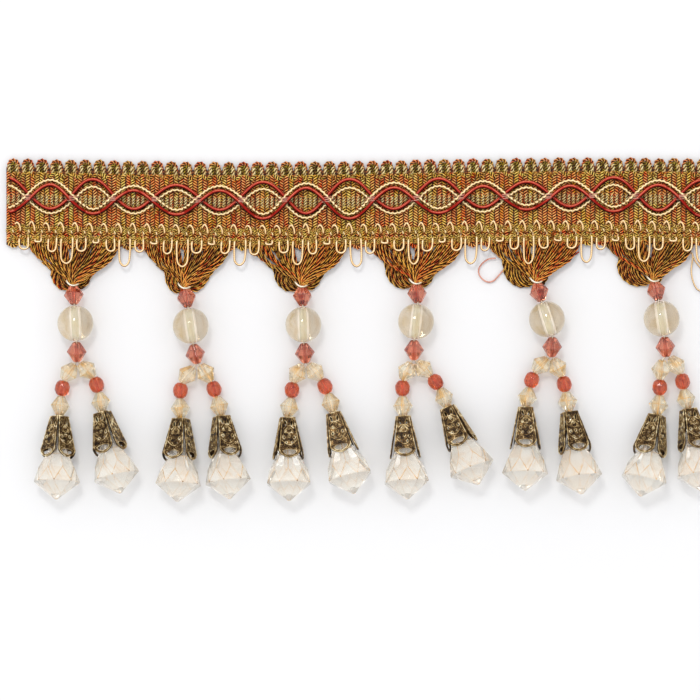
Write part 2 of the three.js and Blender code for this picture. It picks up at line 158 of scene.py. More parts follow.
def yarn_material(name, plies, dark, glint, roughness=0.5, spread=0.4, shine=0.6, hollow=0.58, uneven=0.0,
                  mottle=0.0):
    """Twisted rayon yarn. Each stroke of the twist takes its colour from the strand's tone and a spread of
    its own. The hollows between plies are painted in shade, and some crests get a painted highlight from
    the window. Where it is uneven, some strands are darker than others, and where it is mottled, the
    colours change within a stroke."""
    made, tree, shader = material(name)
    tone = add(tree, "ShaderNodeAttribute", attribute_name="tone").outputs["Fac"]
    stroke = add(tree, "ShaderNodeAttribute", attribute_name="stroke").outputs["Fac"]
    crest = add(tree, "ShaderNodeAttribute", attribute_name="crest").outputs["Fac"]
    place = add(tree, "ShaderNodeTexCoord").outputs["Object"]
    # Single filaments are 0.1 mm. They are drawn at 0.2 to 0.4 mm, because finer ones don't show.
    fine = add(tree, "ShaderNodeTexNoise", {"Vector": place, "Scale": 2600.0, "Detail": 2.0}).outputs["Fac"]

    # Each stroke of each strand draws its own numbers, one for its colour and one for how much it shines.
    whole = add(tree, "ShaderNodeMath", {0: stroke}, operation="FLOOR").outputs[0]
    numbers = add(tree, "ShaderNodeCombineXYZ", {"X": whole, "Y": tone}).outputs[0]
    chance = add(tree, "ShaderNodeTexWhiteNoise", {"Vector": numbers}, noise_dimensions="3D").outputs
    links = {0: chance["Value"], 1: spread, 2: -spread / 2}
    shift = add(tree, "ShaderNodeMath", links, operation="MULTIPLY_ADD").outputs[0]
    # The dyed filaments of one ply cross each other, so its colour breaks up into flecks of 0.4 mm.
    flecks = add(tree, "ShaderNodeMath", {
        0: fine, 1: 2 * mottle, 2: 1.0 - mottle,
    }, operation="MULTIPLY_ADD").outputs[0]
    change = add(tree, "ShaderNodeMath", {0: shift, 1: flecks}, operation="ADD").outputs[0]
    near = add(tree, "ShaderNodeMath", {0: tone, 1: change}, operation="ADD").outputs[0]
    pick = add(tree, "ShaderNodeMath", {0: near}, operation="FRACT").outputs[0]
    colour = add(tree, "ShaderNodeValToRGB", {"Fac": pick}, stops=plies).outputs["Color"]

    # Shade gathers between filaments, between plies, and all over some of the strands.
    links = {"Value": fine, "From Min": 0.3, "From Max": 0.7, "To Min": 0.66}
    lit = add(tree, "ShaderNodeMapRange", links).outputs[0]
    links = {"Value": crest, "From Min": hollow, "From Max": hollow + 0.24}
    raised = add(tree, "ShaderNodeMapRange", links).outputs[0]
    for share in (lit, raised):
        links = {"Factor": share, "A": linear(dark), "B": colour}
        colour = add(tree, "ShaderNodeMix", links, data_type="RGBA").outputs[2]
    number = add(tree, "ShaderNodeMath", {0: tone, 1: 61.0}, operation="MULTIPLY").outputs[0]
    strand = add(tree, "ShaderNodeTexWhiteNoise", {"W": number}, noise_dimensions="1D").outputs[0]
    depth = add(tree, "ShaderNodeMath", {0: strand, 1: 1.5}, operation="POWER").outputs[0]
    dimmed = add(tree, "ShaderNodeMath", {0: depth, 1: uneven}, operation="MULTIPLY").outputs[0]
    links = {"Factor": dimmed, "A": colour, "B": linear(dark)}
    colour = add(tree, "ShaderNodeMix", links, data_type="RGBA").outputs[2]

    # Painted highlight: only the very top of a ply shines, mixed into the colour as the glint.
    top = add(tree, "ShaderNodeMath", {0: crest, 1: 10.0}, operation="POWER").outputs[0]
    second = add(tree, "ShaderNodeSeparateColor", {0: chance["Color"]}).outputs[1]
    glint_share = add(tree, "ShaderNodeMath", {0: second, 1: shine}, operation="MULTIPLY").outputs[0]
    bright = add(tree, "ShaderNodeMath", {0: top, 1: glint_share}, operation="MULTIPLY").outputs[0]
    links = {"Factor": bright, "A": colour, "B": linear(glint)}
    colour = add(tree, "ShaderNodeMix", links, data_type="RGBA").outputs[2]
    bump = add(tree, "ShaderNodeBump", {"Height": fine, "Distance": 0.00008, "Strength": 0.5}).outputs[0]
    connect(tree, shader, {
        "Base Color": colour, "Roughness": roughness, "Normal": bump, "Specular IOR Level": 0.14,
    })
    return made


def satin_cord(name, deep, body, light, wraps_per_mm):
    """A cord wrapped closely in one colour of satin yarn: fine wraps, a painted highlight along the top where
    it faces the window, and painted shade on the flanks that turn away from it."""
    made, tree, shader = material(name)
    length = add(tree, "ShaderNodeAttribute", attribute_name="along").outputs["Fac"]
    turn = add(tree, "ShaderNodeMath", {0: length, 1: TURN * wraps_per_mm}, operation="MULTIPLY").outputs[0]
    wraps = add(tree, "ShaderNodeMath", {0: turn}, operation="SINE").outputs[0]
    # Painted light: the side that faces the window, up and towards +Y, is painted lighter, and the flanks
    # that turn away are painted in shade.
    normal = add(tree, "ShaderNodeNewGeometry").outputs["Normal"]
    links = {0: normal, 1: (-0.05, 0.4, 0.92)}
    facing_light = add(tree, "ShaderNodeVectorMath", links, operation="DOT_PRODUCT").outputs["Value"]
    height = add(tree, "ShaderNodeMapRange", {"Value": facing_light, "From Min": 0.35, "From Max": 1.0}).outputs[0]
    light_and_wraps = add(tree, "ShaderNodeMath", {0: wraps, 1: 0.05, 2: height}, operation="MULTIPLY_ADD").outputs[0]
    # deep is the painted shade of the flanks, light the painted highlight along the top.
    stops = [(0.2, deep), (0.55, body), (0.86, body), (1.0, light)]
    colour = add(tree, "ShaderNodeValToRGB", {"Fac": light_and_wraps}, stops=stops).outputs["Color"]
    bump = add(tree, "ShaderNodeBump", {"Height": wraps, "Distance": 0.00004, "Strength": 0.5}).outputs[0]
    connect(tree, shader, {
        "Base Color": colour, "Roughness": 0.32, "Normal": bump, "Specular IOR Level": 0.12,
    })
    return made


def ground_cloth():
    """The woven ground under the ribs, a matt brown cotton weave with a thread every millimetre."""
    made, tree, shader = material("brown_cotton_ground")
    place = add(tree, "ShaderNodeTexCoord").outputs["Object"]
    links = {"Vector": place, "Scale": 310.0, "Distortion": 1.5}
    weave = add(tree, "ShaderNodeTexWave", links, bands_direction="Y").outputs["Fac"]
    stops = [(0.0, "#2c1408"), (1.0, "#6e3c1c")]
    colour = add(tree, "ShaderNodeValToRGB", {"Fac": weave}, stops=stops).outputs["Color"]
    bump = add(tree, "ShaderNodeBump", {"Height": weave, "Distance": 0.0001, "Strength": 0.6}).outputs[0]
    connect(tree, shader, {"Base Color": colour, "Roughness": 0.8, "Normal": bump})
    return made


def acrylic(name, tint, deep, haze, roughness=0.04, spots=None):
    """Cast acrylic, IOR 1.49, a little hazy in the mass. A deeper tint is laid in patches where "deep" is
    high, on the bevelled edges and at the bore's ends, and as painted light and shade on some facets and on
    the ball. It turns to spots where it is highest. Most light passes through to what lies under it, so it
    casts a pale shadow."""
    made, tree, shader = material(name)
    gathered = add(tree, "ShaderNodeAttribute", attribute_name="deep").outputs["Fac"]
    place = add(tree, "ShaderNodeTexCoord").outputs["Object"]
    # Mould flow lines and dye patches are 2 to 3 mm long.
    links = {"Vector": place, "Scale": 380.0, "Detail": 1.0, "Distortion": 0.6}
    flow = add(tree, "ShaderNodeTexNoise", links).outputs["Fac"]
    patches = add(tree, "ShaderNodeMapRange", {"Value": flow, "From Min": 0.35, "From Max": 0.65}).outputs[0]
    cover = add(tree, "ShaderNodeMath", {0: patches, 1: 0.7, 2: 0.3}, operation="MULTIPLY_ADD").outputs[0]
    strength = add(tree, "ShaderNodeMath", {0: gathered, 1: 0.06}, operation="ADD").outputs[0]
    factor = add(tree, "ShaderNodeMath", {0: cover, 1: strength}, operation="MULTIPLY").outputs[0]
    stops = [(0.0, tint), (0.8, deep), (1.0, spots or deep)]
    colour = add(tree, "ShaderNodeValToRGB", {"Fac": factor}, stops=stops).outputs["Color"]
    shadow = add(tree, "ShaderNodeLightPath").outputs["Is Shadow Ray"]
    cast = add(tree, "ShaderNodeMath", {0: shadow, 1: -0.45, 2: 1.0}, operation="MULTIPLY_ADD").outputs[0]
    connect(tree, shader, {
        "Base Color": colour, "Roughness": roughness, "IOR": 1.49, "Transmission Weight": 1 - haze,
        "Alpha": cast,
    })
    return made


def antique_brass():
    """Stamped brass, blackened and then rubbed: gold on the raised wires and grains, dark brown in the
    ground."""
    made, tree, shader = material("antiqued_stamped_brass")
    rubbed = add(tree, "ShaderNodeAttribute", attribute_name="rubbed").outputs["Fac"]
    place = add(tree, "ShaderNodeTexCoord").outputs["Object"]
    # The patina breaks up at about 1 mm.
    patina = add(tree, "ShaderNodeTexNoise", {"Vector": place, "Scale": 900.0, "Detail": 3.0}).outputs["Fac"]
    height = add(tree, "ShaderNodeMath", {0: rubbed, 1: 0.5, 2: -0.62}, operation="MULTIPLY_ADD").outputs[0]
    worn = add(tree, "ShaderNodeMath", {0: patina, 1: 1.6, 2: height}, operation="MULTIPLY_ADD").outputs[0]
    stops = [(0.0, "#1c140e"), (0.3, "#4c3820"), (0.52, "#8c6c40"), (0.74, "#d0b680"), (0.9, "#fff4d0")]
    colour = add(tree, "ShaderNodeValToRGB", {"Fac": worn}, stops=stops).outputs["Color"]
    rough = add(tree, "ShaderNodeMath", {0: patina, 1: 0.35, 2: 0.22}, operation="MULTIPLY_ADD").outputs[0]
    bump = add(tree, "ShaderNodeBump", {"Height": patina, "Distance": 0.00008, "Strength": 0.6}).outputs[0]
    connect(tree, shader, {"Base Color": colour, "Metallic": 0.85, "Roughness": rough, "Normal": bump})
    return made


# Colours in order round a circle, so that neighbouring tones stay in one family: coral, gold, cream, olive,
# brown.
RIB_PLIES = [
    (0.0, "#ec2c08"), (0.12, "#ff5c1c"), (0.24, "#ff7c3c"), (0.36, "#ff8c18"), (0.48, "#ffb820"),
    (0.6, "#fff078"), (0.7, "#fcb41c"), (0.82, "#c08408"), (0.92, "#b44006"), (1.0, "#ec2c08"),
]
KNOT_PLIES = [
    (0.0, "#b8840c"), (0.2, "#ffd04c"), (0.4, "#a85408"), (0.55, "#f07820"), (0.7, "#bc9420"),
    (0.85, "#7c3008"), (1.0, "#b8840c"),
]
CORE_PLIES = [(0.0, "#80680c"), (0.3, "#4c2406"), (0.5, "#b09424"), (0.75, "#381c08"), (1.0, "#80680c")]
RIM_PLIES = [
    (0.0, "#d05024"), (0.25, "#f09048"), (0.45, "#a85818"), (0.65, "#e0b048"), (0.85, "#b83c14"),
    (1.0, "#d05024"),
]
SKIRT_PLIES = [
    (0.0, "#d82806"), (0.12, "#ff5010"), (0.24, "#ff7820"), (0.34, "#5c0c02"), (0.46, "#e86806"),
    (0.58, "#ffb838"), (0.7, "#a85c04"), (0.82, "#4c1002"), (0.92, "#a81c04"), (1.0, "#d82806"),
]

# Rayon gimp of three colours: some crests get a painted highlight, and the painted shade in the hollows is
# brown-red.
rib_yarn = yarn_material(
    "three_colour_gimp", RIB_PLIES, "#3c0600", glint="#ffe890", spread=0.5, shine=1.5, uneven=0.12,
    mottle=0.3,
)
# The chain stitches pull their yarn tight, so olive and amber stand as small raised knots.
olive_yarn = yarn_material(
    "olive_chain_yarn", KNOT_PLIES, "#280a02", glint="#ffee90", spread=1.0, shine=1.2, hollow=0.62,
    mottle=0.25,
)
core_yarn = yarn_material("dark_olive_gimp", CORE_PLIES, "#240a02", glint="#f0dc70", spread=1.0, mottle=0.2)
rim_yarn = yarn_material("scallop_gimp", RIM_PLIES, "#380c04", glint="#ffe0a0", spread=0.6, mottle=0.2)
# The skirt's long yarns are smoother, with a painted gold glint on some crests and painted deep shade on some
# strands.
skirt_yarn = yarn_material(
    "skirt_gimp", SKIRT_PLIES, "#1c0401", glint="#ffcc60", roughness=0.4, spread=0.22, shine=1.9, hollow=0.64,
    uneven=0.75, mottle=0.1,
)
cream_yarn = yarn_material(
    "cream_binding_yarn", [(0.0, "#fce8a4"), (1.0, "#e0c074")], "#5c2c10", glint="#fffce0",
)
tack_thread = yarn_material(
    "tan_tacking_thread", [(0.0, "#d48c78"), (1.0, "#b87460")], "#6a3028", glint="#f0b8a4",
)
red_satin = satin_cord("red_satin_cord", "#280200", "#a81c0c", "#ec7c60", wraps_per_mm=2.5)
cream_cord = satin_cord("cream_crinkled_cord", "#6a3c14", "#e8cc94", "#f8e8c0", wraps_per_mm=1.05)
loop_thread = satin_cord("cream_loop_thread", "#7c4418", "#ecc890", "#fff0cc", wraps_per_mm=2.0)
bead_thread = satin_cord("waxed_beading_thread", "#a89878", "#e8dcc4", "#fffaf0", wraps_per_mm=3.0)
ground = ground_cloth()
# The bead colours are dyed acrylic, clear enough to show the thread. The drilled walls are rougher, so they
# look frosted, and where seen edge on they carry a painted highlight; the drops are almost colourless, with
# amber in the bevelled edges.
salmon = acrylic("salmon_acrylic", "#ffa888", "#98280c", haze=0.12)
coral = acrylic("coral_acrylic", "#fc8858", "#a83010", haze=0.14)
champagne = acrylic("champagne_acrylic", "#fffef0", "#f4bc48", haze=0.23)
clear_round = acrylic("cream_tinted_acrylic", "#fff8ec", "#e8d0a4", haze=0.16)
drilled = acrylic("frosted_bore", "#fdfdf0", "#f0f0d0", haze=0.3, roughness=0.25)
# Painted highlight: a near white, hazy finish for the bore wall where it is seen edge on.
bore_highlight_wall = acrylic("bore_line_highlight", "#ffffff", "#ffffff", haze=0.95, roughness=0.5)
drop_clear = acrylic("clear_champagne_acrylic", "#fffffa", "#f0b040", haze=0.22, spots="#6c3c08")
brass = antique_brass()


# Geometry Nodes: a twisted yarn along edges

# The share of a turn by which a stroke's start is moved, so that its number changes underneath.
STROKE_START = 0.25


def new_tree(name, inputs, output):
    """A Geometry Nodes tree and the sockets of its inputs, each given by its name, type and value."""
    tree = bpy.data.node_groups.new(name, "GeometryNodeTree")
    for label, kind, value in inputs:
        socket = tree.interface.new_socket(label, in_out="INPUT", socket_type=f"NodeSocket{kind}")
        if value is not None:
            socket.default_value = value
    tree.interface.new_socket(output, in_out="OUTPUT", socket_type="NodeSocketGeometry")
    return tree, add(tree, "NodeGroupInput").outputs


def yarn_tree():
    """Turns edges into yarn: Plies tubes of radius Ply wound round the edge's line at radius Lay, once in
    Twist."""
    tree, given = new_tree("twisted_yarn", [
        ("Lines", "Geometry", None), ("Ply", "Float", 0.3), ("Lay", "Float", 0.3), ("Twist", "Float", 1.5),
        ("Step", "Float", 0.25), ("Plies", "Int", 2), ("Sides", "Int", 4), ("Finish", "Material", None),
    ], "Yarn")
    stored = {"data_type": "FLOAT", "domain": "POINT"}

    # The line, cut into even steps and tilted as it goes. The tone also sets where each strand's twist
    # begins.
    curves = add(tree, "GeometryNodeMeshToCurve", {"Mesh": given["Lines"]}).outputs[0]
    links = {"Curve": curves, "Length": given["Step"]}
    even = add(tree, "GeometryNodeResampleCurve", links, mode="LENGTH").outputs[0]
    length = add(tree, "GeometryNodeSplineParameter").outputs["Length"]
    tone = add(tree, "GeometryNodeInputNamedAttribute", {"Name": "tone"}, data_type="FLOAT").outputs[0]
    count = add(tree, "ShaderNodeMath", {0: length, 1: given["Twist"]}, operation="DIVIDE").outputs[0]
    wind = add(tree, "ShaderNodeMath", {0: count, 1: TURN}, operation="MULTIPLY").outputs[0]
    start = add(tree, "ShaderNodeMath", {0: tone, 1: 40.0}, operation="MULTIPLY").outputs[0]
    turn = add(tree, "ShaderNodeMath", {0: wind, 1: start}, operation="ADD").outputs[0]
    wound = add(tree, "GeometryNodeSetCurveTilt", {"Curve": even, "Tilt": turn}).outputs[0]
    turns = add(tree, "ShaderNodeMath", {0: turn, 1: TURN}, operation="DIVIDE").outputs[0]
    for name, value in (("along", length), ("turns", turns)):
        links = {"Geometry": wound, "Name": name, "Value": value}
        wound = add(tree, "GeometryNodeStoreNamedAttribute", links, **stored).outputs[0]

    # The section: one small ring for each ply, set round the middle.
    index = add(tree, "GeometryNodeInputIndex").outputs[0]
    share = add(tree, "ShaderNodeMath", {0: index, 1: given["Plies"]}, operation="DIVIDE").outputs[0]
    angle = add(tree, "ShaderNodeMath", {0: share, 1: TURN}, operation="MULTIPLY").outputs[0]
    offset = {}
    for axis, operation in (("X", "COSINE"), ("Y", "SINE")):
        part = add(tree, "ShaderNodeMath", {0: angle}, operation=operation).outputs[0]
        links = {0: part, 1: given["Lay"]}
        offset[axis] = add(tree, "ShaderNodeMath", links, operation="MULTIPLY").outputs[0]
    offset = add(tree, "ShaderNodeCombineXYZ", offset).outputs[0]
    links = {"Count": given["Plies"], "Offset": (0.0, 0.0, 0.0)}
    centres = add(tree, "GeometryNodeMeshLine", links).outputs[0]
    centres = add(tree, "GeometryNodeSetPosition", {"Geometry": centres, "Position": offset}).outputs[0]
    links = {"Geometry": centres, "Name": "ply", "Value": share}
    centres = add(tree, "GeometryNodeStoreNamedAttribute", links, **stored).outputs[0]
    links = {"Resolution": given["Sides"], "Radius": given["Ply"]}
    ring = add(tree, "GeometryNodeCurvePrimitiveCircle", links).outputs[0]
    facing = add(tree, "ShaderNodeCombineXYZ", {"Z": angle}).outputs[0]
    links = {"Points": centres, "Instance": ring, "Rotation": facing}
    rings = add(tree, "GeometryNodeInstanceOnPoints", links).outputs[0]
    section = add(tree, "GeometryNodeRealizeInstances", {"Geometry": rings}).outputs[0]
    place = add(tree, "GeometryNodeInputPosition").outputs[0]
    reach = add(tree, "ShaderNodeVectorMath", {0: place}, operation="LENGTH").outputs["Value"]
    widest = add(tree, "ShaderNodeMath", {0: given["Lay"], 1: given["Ply"]}, operation="ADD").outputs[0]
    crest = add(tree, "ShaderNodeMath", {0: reach, 1: widest}, operation="DIVIDE").outputs[0]
    links = {"Geometry": section, "Name": "crest", "Value": crest}
    section = add(tree, "GeometryNodeStoreNamedAttribute", links, **stored).outputs[0]

    links = {"Curve": wound, "Profile Curve": section, "Fill Caps": True}
    swept = add(tree, "GeometryNodeCurveToMesh", links).outputs[0]
    smooth = add(tree, "GeometryNodeSetShadeSmooth", {"Geometry": swept}).outputs[0]
    # Each ply's passage over the top is one stroke. Its number changes underneath, where it can't be seen.
    turns = add(tree, "GeometryNodeInputNamedAttribute", {"Name": "turns"}, data_type="FLOAT").outputs[0]
    ply = add(tree, "GeometryNodeInputNamedAttribute", {"Name": "ply"}, data_type="FLOAT").outputs[0]
    passed = add(tree, "ShaderNodeMath", {0: turns, 1: ply}, operation="ADD").outputs[0]
    stroke = add(tree, "ShaderNodeMath", {0: passed, 1: STROKE_START}, operation="ADD").outputs[0]
    links = {"Geometry": smooth, "Name": "stroke", "Value": stroke}
    smooth = add(tree, "GeometryNodeStoreNamedAttribute", links, **stored).outputs[0]
    whole = add(tree, "GeometryNodeRealizeInstances", {"Geometry": smooth}).outputs[0]
    done = add(tree, "GeometryNodeSetMaterial", {"Geometry": whole, "Material": given["Finish"]}).outputs[0]
    add(tree, "NodeGroupOutput", {"Yarn": done})
    return tree


def run_tree(tree, mesh, **inputs):
    """The tree's result on that mesh, as a plain mesh. Inputs are set by their sockets' identifiers."""
    holder = bpy.data.objects.new("holder", mesh)
    bpy.context.scene.collection.objects.link(holder)
    modifier = holder.modifiers.new("nodes", "NODES")
    modifier.node_group = tree
    sockets = {s.name: s.identifier for s in tree.interface.items_tree if s.in_out == "INPUT"}
    for name, value in inputs.items():
        modifier[sockets[name]] = value
    holder.update_tag()
    result = bpy.data.meshes.new_from_object(holder.evaluated_get(bpy.context.evaluated_depsgraph_get()))
    bpy.data.objects.remove(holder)
    return result


YARN = yarn_tree()


def yarn(strands, finish, ply, lay, step, twist=1.5, plies=2, sides=4):
    """Yarn along each strand, which is (points, tone)."""
    points, edges, tones = [], [], []
    for path, tone in strands:
        first = len(points)
        points += [tuple(p) for p in path]
        edges += [(first + i, first + i + 1) for i in range(len(path) - 1)]
        tones += [tone] * len(path)
    mesh = bpy.data.meshes.new("lines")
    mesh.from_pydata(points, edges, [])
    mesh.attributes.new("tone", "FLOAT", "POINT").data.foreach_set("value", tones)
    return run_tree(
        YARN, mesh, Ply=ply, Lay=lay, Twist=twist, Step=step, Plies=plies, Sides=sides, Finish=finish,
    )


def curve_through(points, per_span):
    """Points along a smooth curve through the given ones."""
    ends = [points[0] * 2 - points[1]] + list(points) + [points[-1] * 2 - points[-2]]
    made = []
    for a, b, c, d in zip(ends, ends[1:], ends[2:], ends[3:]):
        for i in range(per_span):
            t = i / per_span
            made.append(0.5 * ((2 * b) + (c - a) * t + (2 * a - 5 * b + 4 * c - d) * t * t
                               + (3 * b - a - 3 * c + d) * t ** 3))
    return made + [points[-1]]


def smooth_path(*points, per_span=6):
    """The same curve from plain (x, y, z) points."""
    return curve_through([Vector(p) for p in points], per_span)


# Pieces

def piece(name, meshes, slot, *nodes):
    """One finished piece from one or several meshes in millimetres. It rides on the trim's one body."""
    meshes = meshes if isinstance(meshes, list) else [meshes]
    joined = bmesh.new()
    finishes = []
    for mesh in meshes:
        start = len(joined.faces)
        joined.from_mesh(mesh)
        joined.faces.ensure_lookup_table()
        for face in joined.faces[start:]:
            finish = mesh.materials[face.material_index] if mesh.materials else None
            if finish not in finishes:
                finishes.append(finish)
            face.material_index = finishes.index(finish)
    whole = bpy.data.meshes.new(name)
    joined.to_mesh(whole)
    joined.free()
    for finish in finishes:
        whole.materials.append(finish)
    whole.transform(Matrix.Scale(MM, 4))
    made = bpy.data.objects.new(name, whole)
    bpy.context.scene.collection.objects.link(made)
    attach(made, "root")
    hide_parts(*nodes)


def mesh_from(parts, finish, smooth=False):
    """A mesh in one finish from a bmesh."""
    mesh = bpy.data.meshes.new("made")
    bmesh.ops.recalc_face_normals(parts, faces=parts.faces)
    for face in parts.faces:
        face.smooth = smooth
    parts.to_mesh(mesh)
    parts.free()
    mesh.materials.append(finish)
    return mesh


def placed(mesh, matrix):
    """A copy of the mesh, moved and turned to its place."""
    copy = mesh.copy()
    copy.transform(matrix)
    return copy


# The heading

SCALLOP_FOOT = 8.7
SCALLOP_RISE = 1.5
RIB_HEAD = 7.6
RIB_FOOT = -9.7
RIB_Z = 1.22
# The binding row that ties the ribs down, and the tones a rib of gimp may have.
TIED_ROW = 0.74
RIB_TONES = (0.02, 0.08, 0.14, 0.2, 0.26, 0.46, 0.54, 0.6)
# The cords' height, the gap between the two cords of a pair, and how far from a crossing the upper pair
# climbs.
CORD_Z = 2.45
CORD_GAP = 0.12
CLIMB_REACH = 2.4

dice = random.Random(7)


def scallop_centres():
    """Where each scallop's middle lies along the heading."""
    return [-HEADING_HALF + (k + 0.5) * SCALLOP_PITCH for k in range(SCALLOPS)]


def on_heading(x, y, z):
    """A point of the straight heading, moved with the heading's sway."""
    return Vector((x, y + sway(x), z))


def rib_places():
    """The middle of each rib, three to a scallop: the scallop's number, the side and x."""
    return [(k, side, cx + side * RIB_PITCH) for k, cx in enumerate(scallop_centres()) for side in (-1, 0, 1)]


def heading_ground():
    """The woven ground: a thin slab whose upper edge follows the scallops."""
    steps = 6
    parts = bmesh.new()
    columns = []
    for i in range(SCALLOPS * steps + 1):
        x = -HEADING_HALF + i * SCALLOP_PITCH / steps
        across = (i % steps) / (steps / 2) - 1
        top = SCALLOP_FOOT + SCALLOP_RISE * math.sqrt(max(0, 1 - across * across))
        rows = [(HEADING_FOOT, 0.02), (HEADING_FOOT, 0.9), (top, 1.1), (top, 0.02)]
        columns.append([parts.verts.new(on_heading(x, y, z)) for y, z in rows])
    for a, b in zip(columns, columns[1:]):
        for r in range(4):
            parts.faces.new((a[r], b[r], b[(r + 1) % 4], a[(r + 1) % 4]))
    parts.faces.new(columns[0])
    parts.faces.new(columns[-1][::-1])
    return mesh_from(parts, ground)


def heading_ribs():
    """Three ribs of gimp to a scallop. Neighbours are twisted opposite ways, so their strokes meet in
    chevrons, and each dips where the binding row ties it down."""
    left_laid, right_laid = [], []
    for k, side, x in rib_places():
        lean = dice.uniform(-0.1, 0.1)
        path = []
        for i in range(15):
            y = mix(RIB_HEAD, RIB_FOOT, i / 14)
            dip = 0.35 * math.exp(-((y - TIED_ROW) / 0.7) ** 2)
            path.append(on_heading(x + lean * math.sin(i * 0.9) + dice.uniform(-0.05, 0.05), y, RIB_Z - dip))
        group = left_laid if (3 * k + side) % 2 else right_laid
        group.append((path, dice.choice(RIB_TONES) + dice.uniform(-0.04, 0.04)))
    shape = dict(ply=0.32, lay=0.26, step=0.2)
    return yarn(left_laid, rib_yarn, twist=1.35, **shape), yarn(right_laid, rib_yarn, twist=-1.35, **shape)


def scallop_turns():
    """The gimp turns over at each scallop: two nested turns make a full dome, coral outside and olive
    within."""
    rims, cores = [], []
    for cx in scallop_centres():
        rise = dice.uniform(-0.12, 0.1)
        wide = dice.uniform(0.96, 1.06)
        rim = [(-1.05, 7.4), (-1.16, 9.1), (-0.9, 10.2), (0, 10.65), (0.9, 10.2), (1.16, 9.1), (1.05, 7.4)]
        core = [(-0.42, 7.4, 1.2), (-0.48, 9.3, 1.2), (0, 9.95, 1.0), (0.48, 9.3, 1.2), (0.42, 7.4, 1.2)]
        rims.append((smooth_path(*[on_heading(cx + x * wide, y + rise, 1.1) for x, y in rim]), dice.random()))
        path = smooth_path(*[on_heading(cx + x, y + rise, z) for x, y, z in core], per_span=4)
        cores.append((path, dice.random()))
    outer = yarn(rims, rim_yarn, ply=0.26, lay=0.22, twist=1.7, step=0.22)
    return [outer, yarn(cores, core_yarn, ply=0.26, lay=0.2, twist=1.5, step=0.22)]


def selvedge_turns():
    """At the lower edge the gimp turns back up under the chain rows."""
    strands = []
    for cx in scallop_centres():
        tone = dice.random()
        low = -10.55 + dice.uniform(-0.25, 0.2)
        half = [(-1.2, -8.0), (-1.25, -9.4), (-0.85, low + 0.35)]
        shape = half + [(0, low)] + [(-x, y) for x, y in reversed(half)]
        strands.append((smooth_path(*[on_heading(cx + x, y, 1.15) for x, y in shape]), tone))
    return yarn(strands, rib_yarn, ply=0.3, lay=0.27, twist=1.5, step=0.22)


def binding_stitches():
    """Two cream stitches over each scallop, and fainter ones over the ribs along the middle row."""
    def stitch(x, points, per_span):
        """A stitch over the heading at x, through points beside it."""
        return curve_through([on_heading(x + dx, y, z) for dx, y, z in points], per_span)

    bold, faint, bits = [], [], []
    for cx in scallop_centres():
        for side in (-1, 1):
            x = cx + side * 0.95 + dice.uniform(-0.08, 0.08)
            path = stitch(x, [(0, 9.2, 1.3), (0, 8.85, 2.0), (0, 8.1, 2.05), (0, 7.7, 1.3)], 4)
            bold.append((path, dice.random()))
        for side in (-1, 0, 1):
            x = cx + side * RIB_PITCH + dice.uniform(-0.1, 0.1)
            path = stitch(x, [(0, 2.1, 1.2), (0.1, 1.5, 1.62), (-0.1, 0.2, 1.62), (0, -0.4, 1.2)], 3)
            faint.append((path, dice.random()))
        # A stitch shows below the upper chain row beside each hanging loop.
        x = cx + dice.uniform(-0.2, 0.4)
        path = stitch(x, [(-0.2, -6.6, 1.7), (0, -6.9, 2.35), (0.15, -7.3, 2.3), (0.2, -7.7, 1.7)], 3)
        bits.append((path, 0.0))
    thick = yarn(bold, cream_yarn, ply=0.26, lay=0.2, twist=1.9, step=0.2)
    thin = yarn(bits, cream_cord, ply=0.2, lay=0.0, twist=1.0, step=0.2, plies=1, sides=6)
    return [thick, thin, yarn(faint, cream_yarn, ply=0.19, lay=0.16, twist=1.5, step=0.22)]


def chain_rows():
    """Olive chain stitches: one row of Vs under the scallops and two zigzag rows in the lower selvedge."""
    strands = []
    for k in range(SCALLOPS + 1):
        x = -HEADING_HALF + k * SCALLOP_PITCH
        shape = [(-1.3, 7.6, 1.4), (-0.7, 7.1, 1.8), (0, 6.5, 1.85), (0.7, 7.1, 1.8), (1.3, 7.6, 1.4)]
        shape = [p for p in shape if abs(x + p[0]) < HEADING_HALF]
        if len(shape) > 2:
            path = smooth_path(*[on_heading(x + dx, y, z) for dx, y, z in shape], per_span=3)
            strands.append((path, dice.random()))
    # Each rib ends in two knots, where the stitches of the selvedge cross it. The lower row is set half a
    # rib over.
    knots = []
    for _, _, middle in rib_places():
        for row_y, over in ((-6.4, 0), (-8.9, RIB_PITCH / 2)):
            x = middle + dice.uniform(-0.12, 0.12) + over
            if abs(x) > HEADING_HALF - 0.6:
                continue
            y = row_y + dice.uniform(-0.25, 0.25)
            slant = dice.choice((-0.3, 0.3))
            shape = [
                (-0.42, -0.7, 1.3), (-0.38, 0.2, 1.95), (slant, 0.75, 2.1), (0.38, 0.2, 1.95),
                (0.42, -0.7, 1.3),
            ]
            path = smooth_path(*[on_heading(x + dx, y + dy, z) for dx, dy, z in shape], per_span=3)
            knots.append((path, dice.random()))
    return [yarn(strands, olive_yarn, ply=0.24, lay=0.2, twist=1.3, step=0.22),
            yarn(knots, olive_yarn, ply=0.21, lay=0.16, twist=1.1, step=0.2)]


def wave_point(i, u, over):
    """The middle of a pair of cords, at the share u of lens i. The pairs change sides at each crossing."""
    left, rise, fall = LENSES[i][:3]
    above = (i % 2 == 1) == over
    height = (rise if above else -fall) * math.sin(math.pi * u)
    return Vector((mix(left, LENSES[i + 1][0], u), CORD_MIDDLE + height, 0))


